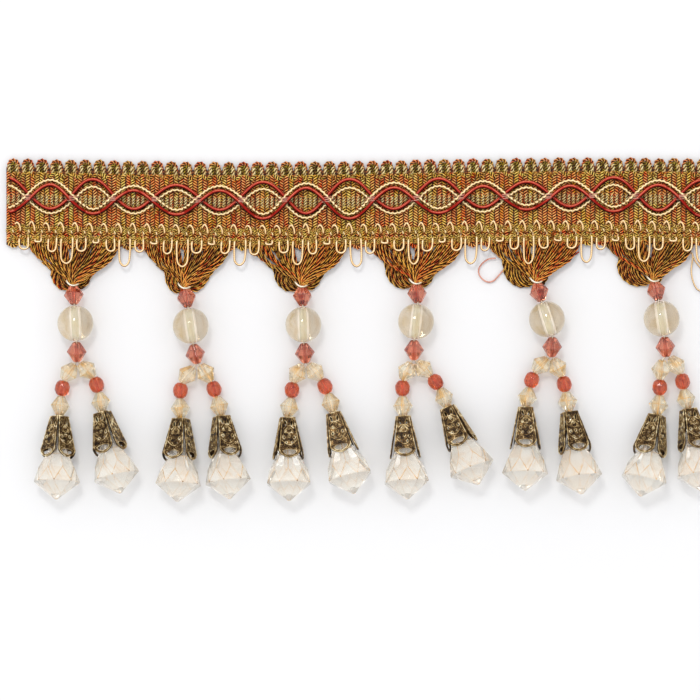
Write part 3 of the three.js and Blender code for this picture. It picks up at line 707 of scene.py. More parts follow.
def cord_path(over, side):
    """The same wave as the part's source, with closer points. side is 1 for the pair's upper cord. The pair
    that lies over climbs at each crossing."""
    path = []
    for i in range(len(LENSES) - 1):
        left, spread_here = LENSES[i][0], LENSES[i][3]
        above = (i % 2 == 1) == over
        width = LENSES[i + 1][0] - left
        for step in range(24):
            u = step / 24
            here = wave_point(i, u, over)
            if abs(here.x) > HEADING_HALF - 0.3:
                continue
            ahead = wave_point(i, min(u + 0.02, 1), over) - wave_point(i, max(u - 0.02, 0), over)
            normal = Vector((-ahead.y, ahead.x, 0)).normalized()
            spread = mix(1.0, spread_here, math.sin(math.pi * u) ** 2) if above else 1.0
            from_crossing = min(u, 1 - u) * width
            lift = CORD_CLIMB * max(0, 1 - (from_crossing / CLIMB_REACH) ** 2 / 2) if over else 0
            here += normal * side * (spread + CORD_GAP) / 2
            path.append(Vector((here.x, here.y + sway(here.x), CORD_Z + lift)))
    return path


def tacking():
    """Thin thread ties each crossing down: three short stitches across the four cords."""
    strands = []
    for left, *_ in LENSES:
        if abs(left) > HEADING_HALF - 2:
            continue
        for i in range(3):
            y = CORD_MIDDLE + (i - 1) * 0.45 + dice.uniform(-0.1, 0.1)
            shape = [(-1.7, 2.2), (-1.1, 3.2), (-0.4, 4.3), (0.4, 4.3), (1.0, 3.3), (1.5, 2.2)]
            shape = [(dx * dice.uniform(0.85, 1.05), z) for dx, z in shape]
            path = smooth_path(*[on_heading(left + dx, y + dx * 0.1, z) for dx, z in shape], per_span=3)
            strands.append((path, dice.random()))
    return yarn(strands, tack_thread, ply=0.12, lay=0.0, twist=1.0, step=0.3, plies=1, sides=5)


def loop_edging():
    """One cream thread: an arch on the band between two loops, and a hanging loop of one of four lengths."""
    path = []
    for k in range(LOOP_COUNT):
        x = LOOP_FIRST + k * LOOP_PITCH
        kind = k % 4
        bottom = LOOP_BOTTOMS[kind] + dice.uniform(-0.35, 0.35) * (kind != 1)
        half = (1.1, 0.75, 1.1, 1.35)[kind] * dice.uniform(0.88, 1.1)
        lean = dice.uniform(-0.25, 0.25)
        arch = -4.75 + dice.uniform(-0.25, 0.25)
        depth = HEADING_FOOT + 1.2 - bottom
        shape = [
            (-LOOP_PITCH / 2 - 0.35, -5.3, 2.2),
            (-LOOP_PITCH / 2 + 0.15, arch, 2.4),
            (-LOOP_PITCH / 2 + 0.75, -5.6, 2.35),
            (-LOOP_PITCH / 2 + 0.95, -6.8, 2.2),
            (-half * 0.9, -7.7, 1.3),
            (-half * 0.9, -8.5, 1.4),
            (-half + lean * 0.2, -9.3, 2.4),
            (-half + lean * 0.4, bottom + 0.55 * depth, 2.6),
            (-half * 0.8 + lean, bottom + 0.16 * depth, 2.7),
            (lean, bottom, 2.7),
            (half * 0.8 + lean, bottom + 0.16 * depth, 2.7),
            (half + lean * 0.4, bottom + 0.55 * depth, 2.6),
            (half, -8.9, 2.4),
            (half * 0.9, -8.0, 1.3),
            (LOOP_PITCH / 2 - 0.75, -6.6, 1.3),
        ]
        path += [on_heading(x + dx, y, z) for dx, y, z in shape]
    path.append(on_heading(LOOP_FIRST + (LOOP_COUNT - 0.5) * LOOP_PITCH, -4.6, 2.35))
    shape = dict(ply=0.27, lay=0.0, twist=1.0, step=0.22, plies=1, sides=8)
    return yarn([(curve_through(path, 4), 0.3)], loop_thread, **shape)


# The skirts

def skirt(index, place):
    """About fifty yarns in nine sweeps that gather at the neck, an under layer, a puff that folds back
    under the left sweep, a smaller one on the right, and turns inside the cream loops."""
    roll = random.Random(100 + index)
    x, y = place["x"], place["y"]
    left, right = place["left"], place["right"]
    left_puff, right_puff = place["left_puff"], place["right_puff"]
    strands = []

    def lay_down(points, tone):
        """Adds a yarn through points given from the neck."""
        strands.append((curve_through([Vector(p) + Vector((x, y, 0)) for p in points], 6), tone % 1))

    def edge(at):
        """The heading's lower edge above the neck, at that distance beside it."""
        return HEADING_FOOT + sway(x + at) - y + 0.8

    # Sweeps: root beside the neck, how many yarns, and how high the sweep sags between root and neck.
    sweeps = [
        (-left * 0.97, 6, 0.60), (-left * 0.76, 6, 0.64), (-left * 0.5, 6, 0.66), (-left * 0.24, 5, 0.6),
        (left * 0.08, 5, 0.6), (right * 0.32, 5, 0.58), (right * 0.56, 6, 0.56), (right * 0.78, 6, 0.53),
        (right * 0.97, 6, 0.5),
    ]
    for root, count, sag in sweeps:
        tones = roll.sample((0.0, 0.05, 0.1, 0.16, 0.22, 0.36, 0.46, 0.56, 0.62, 0.86), count)
        high = edge(root)
        for s in range(count):
            off = (s - (count - 1) / 2) * 0.8
            side = -1 if root < 0 else 1
            wide = abs(root) / left
            start = root + 0.36 * off
            layer = 0.95 + 0.4 * (s % 3) + 0.3 * (1 - wide)
            lay_down([
                (start, high + 0.6, 0.9),
                (start * 0.95 + 0.12 * off, high - 1.0, layer),
                (root * 0.72 + 0.52 * off, sag * (high - 0.2) + 0.3 * off * side * wide, layer + 0.3),
                (root * 0.42 + 0.46 * off, (sag - 0.22) * high + 0.42 * off * side * wide, layer + 0.7),
                (root * 0.13 + 0.28 * off, (sag - 0.43) * high + 0.2, layer + 1.3),
                (roll.uniform(-0.3, 0.3), 0.1, 2.6 + 0.4 * (s % 3)),
            ], tones[s] + roll.uniform(-0.02, 0.02))
    # An under layer closes the lower half of the fan, in dark red yarn chosen as painted shade under the
    # sweeps.
    for s in range(22):
        root = mix(-left * 0.8, right * 0.8, s / 21)
        lay_down([
            (root * 0.66, 0.6 * edge(root), 0.5), (root * 0.5, 0.42 * edge(root), 0.6),
            (root * 0.25, 0.22 * edge(root), 0.9), (root * 0.04, 0.3, 1.5),
        ], 0.88 + roll.uniform(-0.06, 0.06))

    # The puffs: nested turns from under the sweeps, round below and back to the neck. Inner turn, then
    # outer turn.
    puffs = [
        (-1, left, left_puff, 11,
         [(0.42, 4.6), (0.5, 3.4), (0.42, 2.4), (0.34, 1.7), (0.22, 1.0), (0.1, 0.5)],
         [(0.72, 5.9), (1.0, 4.0), (0.97, 2.5), (0.83, 0.6), (0.56, -0.8), (0.26, -0.8)]),
        (1, right, right_puff, 6,
         [(0.5, 4.6), (0.72, 3.0), (0.55, 1.6), (0.4, 0.8), (0.25, 0.4), (0.1, 0.3)],
         [(0.7, 5.5), (1.1, 3.0), (0.88, 1.1), (0.64, -0.2), (0.42, -0.6), (0.2, -0.4)]),
    ]
    for side, reach, puff, count, inner, outer in puffs:
        tone = 0.8 + roll.uniform(-0.06, 0.06)
        for s in range(count):
            q = s / (count - 1)
            points = []
            for step, ((ax, ay), (bx, by)) in enumerate(zip(inner, outer)):
                across = mix(ax, bx, q) * (reach if step == 0 else puff)
                points.append((side * across, mix(ay, by, q), 1.2 - 0.5 * q + 0.25 * (s % 2)))
            points.append((side * 0.1, 0.0, 1.9))
            # Painted highlight: the outermost turn of each puff is shifted to pale gold tones along the
            # puff's outline.
            outline_highlight = 0.75 if s == count - 1 else 0.0
            change = roll.choice((-0.1, 0.04, 0.1, 0.16, 0.3))
            lay_down(points, tone + change + roll.uniform(-0.02, 0.02) + outline_highlight)

    # Turns of gimp hang inside the middle-length loops over the skirt.
    for k in range(0, LOOP_COUNT, 2):
        at = LOOP_FIRST + k * LOOP_PITCH - x
        if -left + 0.5 < at < right - 0.5:
            high = edge(at)
            tone = roll.random()
            lay_down([
                (at - 0.42, high, 1.6), (at - 0.45, high - 1.3, 1.9), (at - 0.35, high - 2.3, 1.9),
                (at, high - 2.7, 1.7), (at + 0.35, high - 2.3, 1.9), (at + 0.45, high - 1.3, 1.9),
                (at + 0.42, high, 1.6),
            ], tone)
    return yarn(strands, skirt_yarn, ply=0.18, lay=0.16, twist=3.8, step=0.36)


def neck_tie(place):
    """The white thread that gathers the skirt: it shows as a slanting turn in front of the neck."""
    turn = [
        (-1.7, 1.3, 2.2), (-1.5, 0.9, 3.6), (-1.0, 0.35, 4.3), (-0.4, 0.0, 4.5), (0.4, -0.05, 4.4),
        (1.0, 0.15, 3.7), (1.3, 0.5, 2.8), (0.8, 0.9, 1.6), (-0.4, 1.1, 1.1), (-1.5, 1.3, 1.5),
    ]
    path = smooth_path(*[(place["x"] + dx, place["y"] + dy, z) for dx, dy, z in turn], per_span=3)
    return yarn([(path, 0.5)], bead_thread, ply=0.24, lay=0.0, plies=1, sides=6, step=0.25)


# Loose ends that were left in the making: a loop of pinkish yarn, a straight dark red yarn and two tan ends.
LOOSE_ENDS = [
    (5, "pink", [(34.1, -13.7), (32.1, -14.0), (30.4, -15.4), (29.8, -17.0), (30.5, -18.6), (32.0, -19.6),
                 (33.6, -19.3), (34.8, -18.0), (36.4, -16.2)]),
    (5, "red", [(54.7, -12.1), (52.4, -13.8), (50.0, -15.6)]),
    (6, "tan", [(82.2, -12.1), (82.9, -13.1), (82.5, -16.6), (82.9, -19.2), (83.9, -21.3), (85.4, -22.0)]),
    (6, "tan", [(82.6, -12.4), (83.6, -14.6), (84.8, -16.1), (85.9, -17.4)]),
]


def loose_ends(number):
    """The loose ends that lie at that tassel, sinking towards the surface."""
    finishes = {"pink": tack_thread, "red": red_satin, "tan": loop_thread}
    made = []
    for owner, colour, points in LOOSE_ENDS:
        if owner == number:
            path = smooth_path(*[(px, py, 0.9 - 0.06 * i) for i, (px, py) in enumerate(points)], per_span=5)
            made.append(yarn([(path, 0.4)], finishes[colour], ply=0.2, lay=0.0, plies=1, sides=6, step=0.25))
    return made


# The beads

# The radius of the bore that shows in the round bead. It is narrower than the solid's.
DRILL = 0.95


def turned(profile, sides, twist=None):
    """A ring-shaped solid about -Y from (radius, distance) pairs in a closed loop. twist gives each ring's
    turn."""
    parts = bmesh.new()
    rings = []
    for r, (radius, distance) in enumerate(profile):
        start = (twist[r] if twist else 0) * TURN / sides
        ring = []
        for i in range(sides):
            turn = start + TURN * i / sides
            ring.append(parts.verts.new((radius * math.cos(turn), -distance, radius * math.sin(turn))))
        rings.append(ring)
    for r, ring in enumerate(rings):
        after = rings[(r + 1) % len(rings)]
        shift = twist and abs(twist[r] - twist[(r + 1) % len(rings)]) > 0.1
        for i in range(sides):
            j = (i + 1) % sides
            if not shift:
                parts.faces.new((ring[i], ring[j], after[j], after[i]))
            elif twist[r] < twist[(r + 1) % len(rings)]:
                parts.faces.new((ring[i], ring[j], after[i]))
                parts.faces.new((ring[j], after[j], after[i]))
            else:
                parts.faces.new((ring[i], ring[j], after[j]))
                parts.faces.new((ring[i], after[j], after[i]))
    return parts


def softened(parts, finish, width, end_colour=0.0, edge_colour=0.45, painted_facet_shade=0.0, seed=1):
    """The facets' edges are rounded a little, as tumbling leaves them. Colour gathers in the edges and at
    the ends, and some facets get a random share of it, painted in as the light and dark of refraction."""
    roll = random.Random(seed)
    bmesh.ops.recalc_face_normals(parts, faces=parts.faces)
    deep = parts.faces.layers.float.new("deep")
    sharp = [e for e in parts.edges if len(e.link_faces) == 2 and e.calc_face_angle(0) > 0.15]
    edges = bmesh.ops.bevel(parts, geom=sharp, offset=width, segments=1, affect="EDGES", clamp_overlap=True)
    for face in parts.faces:
        # Painted light and shade: each facet gets a random share of the deeper tint.
        face[deep] = painted_facet_shade * roll.random() ** 2
    for face in edges["faces"]:
        face[deep] = edge_colour
    ends = [v.co.y for v in parts.verts]
    for face in parts.faces:
        middle = face.calc_center_median().y
        near = min(max(ends) - middle, middle - min(ends))
        face[deep] = max(face[deep], end_colour * max(0.0, 1 - near / 1.2))
    return mesh_from(parts, finish)


def bicone(finish, painted_facet_shade):
    """The long faceted bead of a stem or leg: two cones on one belt, with flat drilled ends."""
    short = GAP / 2 - 0.08
    bore, end, belt = 0.42, 1.0, 2.5
    profile = [(bore, short), (end, short), (belt, BICONE / 2), (end, BICONE - short), (bore, BICONE - short)]
    return softened(turned(profile, 8), finish, 0.1, 0.8, 0.7, painted_facet_shade, seed=5)


def small_round(finish):
    """The small round bead of a leg, with rows of kites and triangles round its belt."""
    half = SMALL / 2
    profile = [
        (0.4, 0.1), (0.9, 0.1), (1.5, 0.62), (1.86, half - 0.55), (1.86, half + 0.55), (1.5, SMALL - 0.62),
        (0.9, SMALL - 0.1), (0.4, SMALL - 0.1),
    ]
    return softened(turned(profile, 9, [0, 0, 0.5, 0, 0.5, 0, 0.5, 0.5]), finish, 0.05, 0.3, 0.5, 0.8, seed=6)


def round_bead(finish):
    """A polished ball with a drilled bore."""
    half = math.sqrt(ROUND ** 2 - ROUND_BORE ** 2)
    start = math.asin(ROUND_BORE / ROUND)
    profile = []
    for i in range(33):
        turn = mix(start, math.pi - start, i / 32)
        profile.append((ROUND * math.sin(turn), half - ROUND * math.cos(turn)))
    for i in range(7):
        profile.append((DRILL, mix(2 * half - 0.2, 0.2, i / 6)))
    mesh = mesh_from(turned(profile, 56), finish, smooth=True)
    # The drill leaves the bore frosted. Where its wall is seen edge on from above, it gets a whiter, hazier
    # finish: a painted highlight for two bright lines along the bore.
    mesh.materials.append(drilled)
    mesh.materials.append(bore_highlight_wall)
    for face in mesh.polygons:
        if math.hypot(face.center.x, face.center.z) < 1.0:
            face.material_index = 2 if abs(face.center.x) > 0.7 else 1
    # The tint lies in soft streaks round the bore, which also paint the ball darker on its upper left and
    # lighter on its upper right: painted shade and light.
    streaks_and_shade = []
    for vertex in mesh.vertices:
        x, z = vertex.co.x, vertex.co.z
        streaks_and_shade.append(0.45 - 0.45 * math.sin(math.atan2(z, x) * 2 + 0.8 * math.sin(x * 1.4)))
    mesh.attributes.new("deep", "FLOAT", "POINT").data.foreach_set("value", streaks_and_shade)
    return mesh


def drop_mesh(finish):
    """The faceted drop: flutes that widen from the neck, a girdle of kites, and a low point."""
    # Each ring's radius, its distance down the drop, and its turn in facets.
    profile = [
        (1.0, DROP_TOP, 0), (1.35, 4.8, 0), (2.95, 9.5, 0), (4.8, 12.9, 0), (5.75, 16.3, 0.5),
        (0.4, 20.5, 0.5),
    ]
    sides = 8
    parts = bmesh.new()
    rings = []
    for radius, distance, start in profile:
        ring = []
        for i in range(sides):
            turn = (i + start) * TURN / sides
            ring.append(parts.verts.new((radius * math.cos(turn), -distance, radius * math.sin(turn))))
        rings.append((ring, start))
    for (a, turn_a), (b, turn_b) in zip(rings, rings[1:]):
        for i in range(sides):
            j = (i + 1) % sides
            if turn_a == turn_b:
                parts.faces.new((a[i], a[j], b[j], b[i]))
            else:
                parts.faces.new((a[i], a[j], b[i]))
                parts.faces.new((a[j], b[j], b[i]))
    parts.faces.new(rings[0][0])
    parts.faces.new(rings[-1][0][::-1])
    made = softened(parts, finish, 0.12, 0.6, 0.6, 0.2, seed=3)
    # The colour is strongest at the girdle's corners and weak along the low point's edges.
    depth = made.attributes["deep"].data
    for face in made.polygons:
        out = math.hypot(face.center.x, face.center.z)
        if out > 5.35 and face.area < 0.2:
            depth[face.index].value = 1.6
        elif -20.3 < face.center.y < -16.2:
            depth[face.index].value *= 0.3
    return made


# The filigree caps

LEAF_LENGTH = 8.6
LOBE_LENGTH = 1.9
LEAF_SPLAY = math.radians(11)


def leaf_half_width(y):
    """Half a leaf's width at y, down from the cap's top."""
    return mix(1.5, 2.65, min(1.0, -y / LEAF_LENGTH))


def leaf_outline(grow=0.0):
    """One leaf: straight widening sides and a pointed lobe."""
    sides = [(leaf_half_width(-t * LEAF_LENGTH) + grow, -t * LEAF_LENGTH) for t in (0, 0.25, 0.5, 0.75, 1)]
    lobe = [(2.5, -0.5), (1.95, -1.15), (1.1, -1.65)]
    right = sides + [(x + grow, y - LEAF_LENGTH - grow) for x, y in lobe]
    return right + [(0, -LEAF_LENGTH - LOBE_LENGTH - grow)] + [(-x, y) for x, y in reversed(right)]


def oval(x, y, wide, tall, lean=0.0):
    """The outline of an oval hole."""
    count = 10
    made = []
    for i in range(count):
        turn = TURN * i / count
        dx, dy = wide / 2 * math.cos(turn), tall / 2 * math.sin(turn)
        made.append((
            x + dx * math.cos(lean) - dy * math.sin(lean), y + dx * math.sin(lean) + dy * math.cos(lean),
        ))
    return made


# Two tall drops at the top, three staggered rows of small holes, and the open crescent of the lobe.
LEAF_HOLES = [
    oval(-0.75, -1.6, 0.7, 1.7, 0.2), oval(0.75, -1.6, 0.7, 1.7, -0.2),
    oval(-0.85, -3.7, 0.6, 0.8), oval(0.85, -3.7, 0.6, 0.8), oval(0, -3.0, 0.45, 0.6),
    oval(-1.25, -5.3, 0.6, 0.9), oval(0, -5.0, 0.6, 0.8), oval(1.25, -5.3, 0.6, 0.9),
    oval(-0.75, -6.6, 0.6, 0.7), oval(0.75, -6.6, 0.6, 0.7),
    [(-1.75, -8.75), (-1.0, -8.4), (0, -8.3), (1.0, -8.4), (1.75, -8.75), (1.6, -9.2), (1.1, -9.7),
     (0, -10.05), (-1.1, -9.7), (-1.6, -9.2)],
]


def leaf_plate():
    """The pierced plate, filled from its outline and holes and given its thickness."""
    shape = bpy.data.curves.new("leaf", "CURVE")
    shape.dimensions = "2D"
    shape.fill_mode = "BOTH"
    shape.extrude = 0.14
    for outline in [leaf_outline()] + LEAF_HOLES:
        spline = shape.splines.new("POLY")
        spline.points.add(len(outline) - 1)
        for point, (x, y) in zip(spline.points, outline):
            point.co = (x, y, 0, 1)
        spline.use_cyclic_u = True
    holder = bpy.data.objects.new("leaf", shape)
    bpy.context.scene.collection.objects.link(holder)
    mesh = bpy.data.meshes.new_from_object(holder.evaluated_get(bpy.context.evaluated_depsgraph_get()))
    bpy.data.objects.remove(holder)
    parts = bmesh.new()
    parts.from_mesh(mesh)
    bmesh.ops.remove_doubles(parts, verts=parts.verts, dist=0.002)
    return mesh_from(parts, brass)


def grain_tree():
    """Rows of small grains along edges, as on stamped filigree, with a wire under them."""
    tree, given = new_tree("grained_wire", [
        ("Lines", "Geometry", None), ("Grain", "Float", 0.17), ("Spacing", "Float", 0.36),
        ("Wire", "Float", 0.1), ("Finish", "Material", None),
    ], "Wirework")
    curves = add(tree, "GeometryNodeMeshToCurve", {"Mesh": given["Lines"]}).outputs[0]
    links = {"Curve": curves, "Length": given["Spacing"]}
    spaced = add(tree, "GeometryNodeResampleCurve", links, mode="LENGTH").outputs[0]
    grain = add(tree, "GeometryNodeMeshIcoSphere", {"Radius": given["Grain"], "Subdivisions": 1}).outputs[0]
    grains = add(tree, "GeometryNodeInstanceOnPoints", {"Points": spaced, "Instance": grain}).outputs[0]
    links = {"Resolution": 4, "Radius": given["Wire"]}
    section = add(tree, "GeometryNodeCurvePrimitiveCircle", links).outputs[0]
    links = {"Curve": spaced, "Profile Curve": section, "Fill Caps": True}
    wire = add(tree, "GeometryNodeCurveToMesh", links).outputs[0]
    both = add(tree, "GeometryNodeJoinGeometry")
    for geometry in (grains, wire):
        tree.links.new(geometry, both.inputs[0])
    whole = add(tree, "GeometryNodeRealizeInstances", {"Geometry": both.outputs[0]}).outputs[0]
    links = {"Geometry": whole, "Name": "rubbed", "Value": 1.0}
    whole = add(tree, "GeometryNodeStoreNamedAttribute", links, data_type="FLOAT", domain="POINT").outputs[0]
    whole = add(tree, "GeometryNodeSetShadeSmooth", {"Geometry": whole}).outputs[0]
    done = add(tree, "GeometryNodeSetMaterial", {"Geometry": whole, "Material": given["Finish"]}).outputs[0]
    add(tree, "NodeGroupOutput", {"Wirework": done})
    return tree


GRAINS = grain_tree()


def grained(lines, grain, spacing, wire):
    """Grained brass wire along each line, which is (points, whether it closes)."""
    points, edges = [], []
    for line, closed in lines:
        first = len(points)
        points += line
        edges += [(first + i, first + i + 1) for i in range(len(line) - 1)]
        if closed:
            edges.append((first + len(line) - 1, first))
    mesh = bpy.data.meshes.new("lines")
    mesh.from_pydata(points, edges, [])
    return run_tree(GRAINS, mesh, Grain=grain, Spacing=spacing, Wire=wire, Finish=brass)


def joined_mesh(meshes):
    """Several brass meshes as one."""
    parts = bmesh.new()
    for mesh in meshes:
        parts.from_mesh(mesh)
    for face in parts.faces:
        face.material_index = 0
    whole = bpy.data.meshes.new("joined")
    parts.to_mesh(whole)
    parts.free()
    whole.materials.append(brass)
    return whole


def scatter_tree():
    """Grains scattered over the faces that look up, spaced so that they don't run together."""
    tree, given = new_tree("scattered_grains", [
        ("Plate", "Geometry", None), ("Grain", "Float", 0.16), ("Spacing", "Float", 0.4),
        ("Density", "Float", 8.0), ("Seed", "Int", 3), ("Finish", "Material", None),
    ], "Grains")
    normal = add(tree, "GeometryNodeInputNormal").outputs[0]
    facing = add(tree, "ShaderNodeSeparateXYZ", {0: normal}).outputs["Z"]
    links = {"A": facing, "B": 0.7}
    front = add(tree, "FunctionNodeCompare", links, data_type="FLOAT", operation="GREATER_THAN").outputs[0]
    spots = add(tree, "GeometryNodeDistributePointsOnFaces", {
        "Mesh": given["Plate"], "Selection": front, "Distance Min": given["Spacing"],
        "Density Max": given["Density"], "Seed": given["Seed"],
    }, distribute_method="POISSON")
    size = add(tree, "FunctionNodeRandomValue", {2: 0.6, 3: 1.25, "Seed": given["Seed"]}, data_type="FLOAT")
    grain = add(tree, "GeometryNodeMeshIcoSphere", {"Radius": given["Grain"], "Subdivisions": 1}).outputs[0]
    links = {"Points": spots.outputs[0], "Instance": grain, "Scale": size.outputs[1]}
    grains = add(tree, "GeometryNodeInstanceOnPoints", links).outputs[0]
    whole = add(tree, "GeometryNodeRealizeInstances", {"Geometry": grains}).outputs[0]
    links = {"Geometry": whole, "Name": "rubbed", "Value": 0.75}
    whole = add(tree, "GeometryNodeStoreNamedAttribute", links, data_type="FLOAT", domain="POINT").outputs[0]
    done = add(tree, "GeometryNodeSetMaterial", {"Geometry": whole, "Material": given["Finish"]}).outputs[0]
    add(tree, "NodeGroupOutput", {"Grains": done})
    return tree


def cap_mesh():
    """Four leaves and a square top ring, hung from the origin down -Y with the front leaf towards +Z."""
    plate = leaf_plate()
    rim = [(x, y, 0.14) for x, y in leaf_outline(-0.1)]
    rims = grained([(rim, True)], 0.15, 0.34, 0.06)
    rings = grained([([(x, y, 0.14) for x, y in hole], True) for hole in LEAF_HOLES], 0.1, 0.26, 0.07)
    scrolls = [
        [(-1.3, -2.9), (-0.2, -2.2), (0.9, -3.6), (0.1, -4.2)],
        [(1.3, -2.9), (0.2, -2.2), (-0.9, -3.6), (-0.1, -4.2)],
        [(-1.8, -6.0), (-0.6, -7.1), (0.6, -7.1), (1.8, -6.0)],
    ]
    paths = [smooth_path(*[(x, y, 0.16) for x, y in line], per_span=4) for line in scrolls]
    lines = [([tuple(p) for p in path], False) for path in paths]
    wires = grained(lines, 0.12, 0.3, 0.08)
    sizes = dict(Grain=0.12, Spacing=0.3, Density=11.0, Seed=3)
    grains = run_tree(scatter_tree(), plate.copy(), Finish=brass, **sizes)
    leaf = joined_mesh([plate, rims, rings, wires, grains])
    lean = Matrix.Translation((0, 0, 1.6)) @ Matrix.Rotation(-LEAF_SPLAY, 4, "X")
    leaves = [placed(leaf, Matrix.Rotation(TURN * i / 4, 4, "Y") @ lean) for i in range(4)]
    top = turned([(0.9, 0.0), (2.15, 0.0), (2.2, 0.35), (0.9, 0.35)], 4)
    bmesh.ops.rotate(top, verts=top.verts, cent=(0, 0, 0), matrix=Matrix.Rotation(TURN / 8, 3, "Y"))
    return joined_mesh(leaves + [softened(top, brass, 0.06)])


# Strings of beads

def next_joint(start, length, lean, z):
    """The next joint of a string, length away, leaning by lean degrees from straight down, at height z."""
    plan = math.sqrt(length ** 2 - (z - start.z) ** 2)
    turn = math.radians(lean)
    return Vector((start.x + plan * math.sin(turn), start.y - plan * math.cos(turn), z))


def along(start, end, spin=0.0):
    """The placing of a bead that hangs down -Y from its origin, set at start and pointing to end."""
    turn = DOWN.rotation_difference((end - start).normalized()) @ Quaternion(DOWN, spin)
    return Matrix.Translation(start) @ turn.to_matrix().to_4x4()


bead_salmon = bicone(salmon, 0.8)
bead_champagne = bicone(champagne, 0.55)
bead_red = small_round(coral)
ball = round_bead(clear_round)
drop_shape = drop_mesh(drop_clear)
cap_shape = cap_mesh()


def bead_thread_along(joints):
    """The beading thread through those joints."""
    path = [Vector(p) for p in joints]
    return yarn([(path, 0.5)], bead_thread, ply=0.24, lay=0.0, plies=1, sides=6, step=0.5)


def leg(name, split, start, below, leans, drop_lean, spin, lift, roll):
    """One leg of a tassel: champagne, coral and champagne beads on their thread, then the cap and its
    drop."""
    joints = [split + Vector((start * 0.8, -below, lift))]
    joints.append(next_joint(joints[0], BICONE, leans[0], JOINT_Z["under_upper"] + lift / 2))
    joints.append(next_joint(joints[1], SMALL, leans[1], JOINT_Z["under_round"]))
    joints.append(next_joint(joints[2], BICONE, leans[2], JOINT_Z["cap"]))

    def on_axis(reach):
        """A point on the drop's axis."""
        return next_joint(joints[3], reach, drop_lean, joints[3].z + reach * math.sin(DROP_CLIMB))

    cap_top, thread_end = on_axis(GAP), on_axis(DROP_TOP)
    spins = [roll.uniform(0, TURN) for _ in range(4)]
    beads = [
        placed(bead_champagne, along(joints[0], joints[1], spins[0])),
        placed(bead_red, along(joints[1], joints[2], spins[1])),
        placed(bead_champagne, along(joints[2], joints[3], spins[2])),
        bead_thread_along([split + Vector((0, 0.2, 0)), *joints, thread_end]),
    ]
    cap = placed(cap_shape, along(cap_top, thread_end, -math.radians(spin)))
    drop = placed(drop_shape, along(cap_top, thread_end, spins[3]))
    piece(f"leg_beads_{name}", beads, "champagne_acrylic", f"leg_{name}")
    piece(f"filigree_cap_{name}", cap, "antique_brass", f"cap_{name}")
    piece(f"faceted_drop_{name}", drop, "drop_acrylic", f"drop_{name}")


def string(number, place, legs):
    """One tassel: two salmon beads and a clear one on the stem, then a leg on either side of the split."""
    roll = random.Random(60 + number)
    neck = Vector((place["x"], place["y"], JOINT_Z["neck"]))
    leans = place["leans"]
    upper_foot = next_joint(neck, BICONE, leans[0], JOINT_Z["round"])
    round_top = next_joint(upper_foot, ROUND_SLACK, leans[1], JOINT_Z["round"])
    round_length = 2 * math.sqrt(ROUND ** 2 - ROUND_BORE ** 2)
    round_foot = next_joint(round_top, round_length, leans[1], JOINT_Z["round"])
    lower_top = next_joint(round_foot, ROUND_SLACK, leans[1], JOINT_Z["round"])
    split = next_joint(lower_top, BICONE, leans[2], JOINT_Z["split"])
    beads = [
        placed(bead_salmon, along(neck, upper_foot, roll.uniform(0, TURN))),
        placed(bead_salmon, along(lower_top, split, roll.uniform(-0.15, 0.15))),
        bead_thread_along([neck + Vector((0, 0.6, 0)), upper_foot, round_foot, lower_top, split]),
    ]
    piece(f"stem_beads_{number}", beads, "salmon_acrylic", f"stem_{number}")
    clear_ball = placed(ball, along(round_top, round_foot))
    piece(f"clear_ball_{number}", clear_ball, "clear_acrylic", f"round_bead_{number}")
    for side, row in zip(("left", "right"), legs):
        leg(f"{number}_{side}", split, *row, roll)


# Build

piece("heading_ground", heading_ground(), "gimp_yarn", "heading")
for hand, ribs in zip(("left", "right"), heading_ribs()):
    piece(f"ribs_twisted_{hand}", ribs, "gimp_yarn", "heading")
piece("scallop_turns", [*scallop_turns(), selvedge_turns()], "gimp_yarn", "heading")
piece("binding_stitches", binding_stitches(), "cream_crinkled_cord", "heading")
piece("chain_rows", chain_rows(), "gimp_yarn", "heading")

cream_shape = dict(ply=0.3, lay=0.1, twist=1.15, step=0.16, plies=1, sides=8)
red_shape = dict(ply=0.54, lay=0.0, twist=1.0, step=0.3, plies=1, sides=12)
for name, over, side, finish, shape, slot, node in (
    ("cream_over_cord", True, 1, cream_cord, cream_shape, "cream_crinkled_cord", "over_cord_cream"),
    ("red_over_cord", True, -1, red_satin, red_shape, "red_satin_cord", "over_cord_red"),
    ("red_under_cord", False, 1, red_satin, red_shape, "red_satin_cord", "under_cord_red"),
    ("cream_under_cord", False, -1, cream_cord, cream_shape, "cream_crinkled_cord", "under_cord_cream"),
):
    piece(name, yarn([(cord_path(over, side), 0.1)], finish, **shape), slot, node)
piece("tacking_stitches", tacking(), "red_satin_cord", "over_cord_red")
piece("cream_loops", loop_edging(), "cream_loop_thread", "loop_edging")

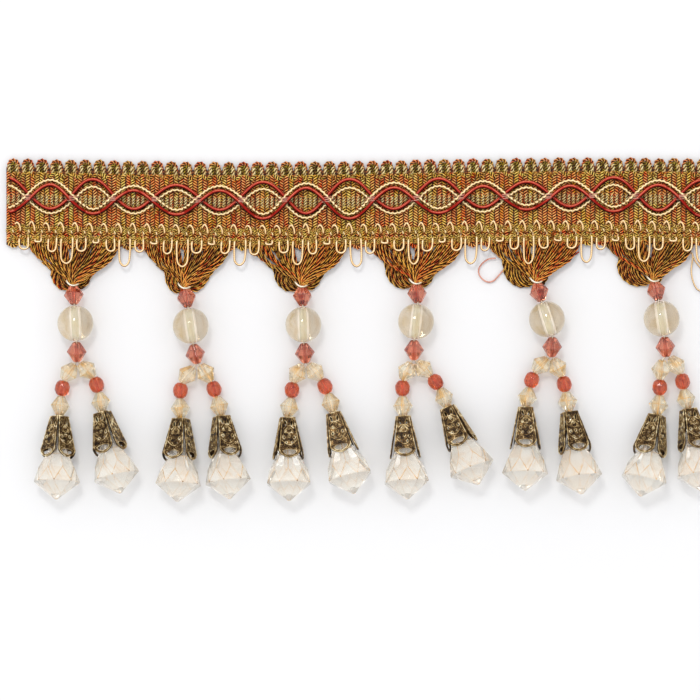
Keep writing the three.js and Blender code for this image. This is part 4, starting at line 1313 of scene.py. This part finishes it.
for i, place in enumerate(TASSELS):
    yarns = [skirt(i, place), neck_tie(place), *loose_ends(i + 1)]
    piece(f"yarn_skirt_{i + 1}", yarns, "skirt_yarn", f"skirt_{i + 1}")
    string(i + 1, place, LEGS[i])

# Floor, light and camera

floor_mesh = bpy.data.meshes.new("floor")
far = 2.0
floor_mesh.from_pydata([(-far, -far, 0), (far, -far, 0), (far, far, 0), (-far, far, 0)], [], [(0, 1, 2, 3)])
floor = bpy.data.objects.new("floor", floor_mesh)
bpy.context.scene.collection.objects.link(floor)
# Matt white paper, so that the pale beads keep their edges and the shadows stay soft.
paper, paper_tree, paper_shader = material("white_paper")
connect(paper_tree, paper_shader, {
    "Base Color": linear("#dcdcdc"), "Roughness": 0.9, "Specular IOR Level": 0.2,
})
floor_mesh.materials.append(paper)


def softbox(name, place, aim, size, watts):
    """A soft window of light, in metres and watts."""
    light = bpy.data.lights.new(name, "AREA")
    light.shape = "RECTANGLE"
    light.size, light.size_y = size
    light.energy = watts
    holder = bpy.data.objects.new(name, light)
    holder.location = place
    holder.rotation_euler = (Vector(aim) - Vector(place)).to_track_quat("-Z", "Y").to_euler()
    bpy.context.scene.collection.objects.link(holder)


softbox("window", (-0.15, 0.4, 0.9), (0, -0.03, 0), (0.22, 0.22), 3.2)

# A white light tent all round.
world = bpy.data.worlds.new("studio")
bpy.context.scene.world = world
world.use_nodes = True
world.node_tree.nodes["Background"].inputs["Color"].default_value = linear("#fafafc")
world.node_tree.nodes["Background"].inputs["Strength"].default_value = 1.22

# The photo's width at the ruler's scale, in metres, and a long lens, so that its edges are seen from above
# too.
FRAME_WIDTH = 0.17357
LENS, SENSOR = 180, 36
camera = bpy.data.objects.new("camera", bpy.data.cameras.new("camera"))
camera.data.lens = LENS
camera.data.sensor_width = SENSOR
camera.location = (-0.00202, -0.03645, FRAME_WIDTH * LENS / SENSOR)
camera.data.clip_start, camera.data.clip_end = 0.05, 10
bpy.context.scene.collection.objects.link(camera)
bpy.context.scene.camera = camera
bpy.context.scene.view_settings.view_transform = "Standard"
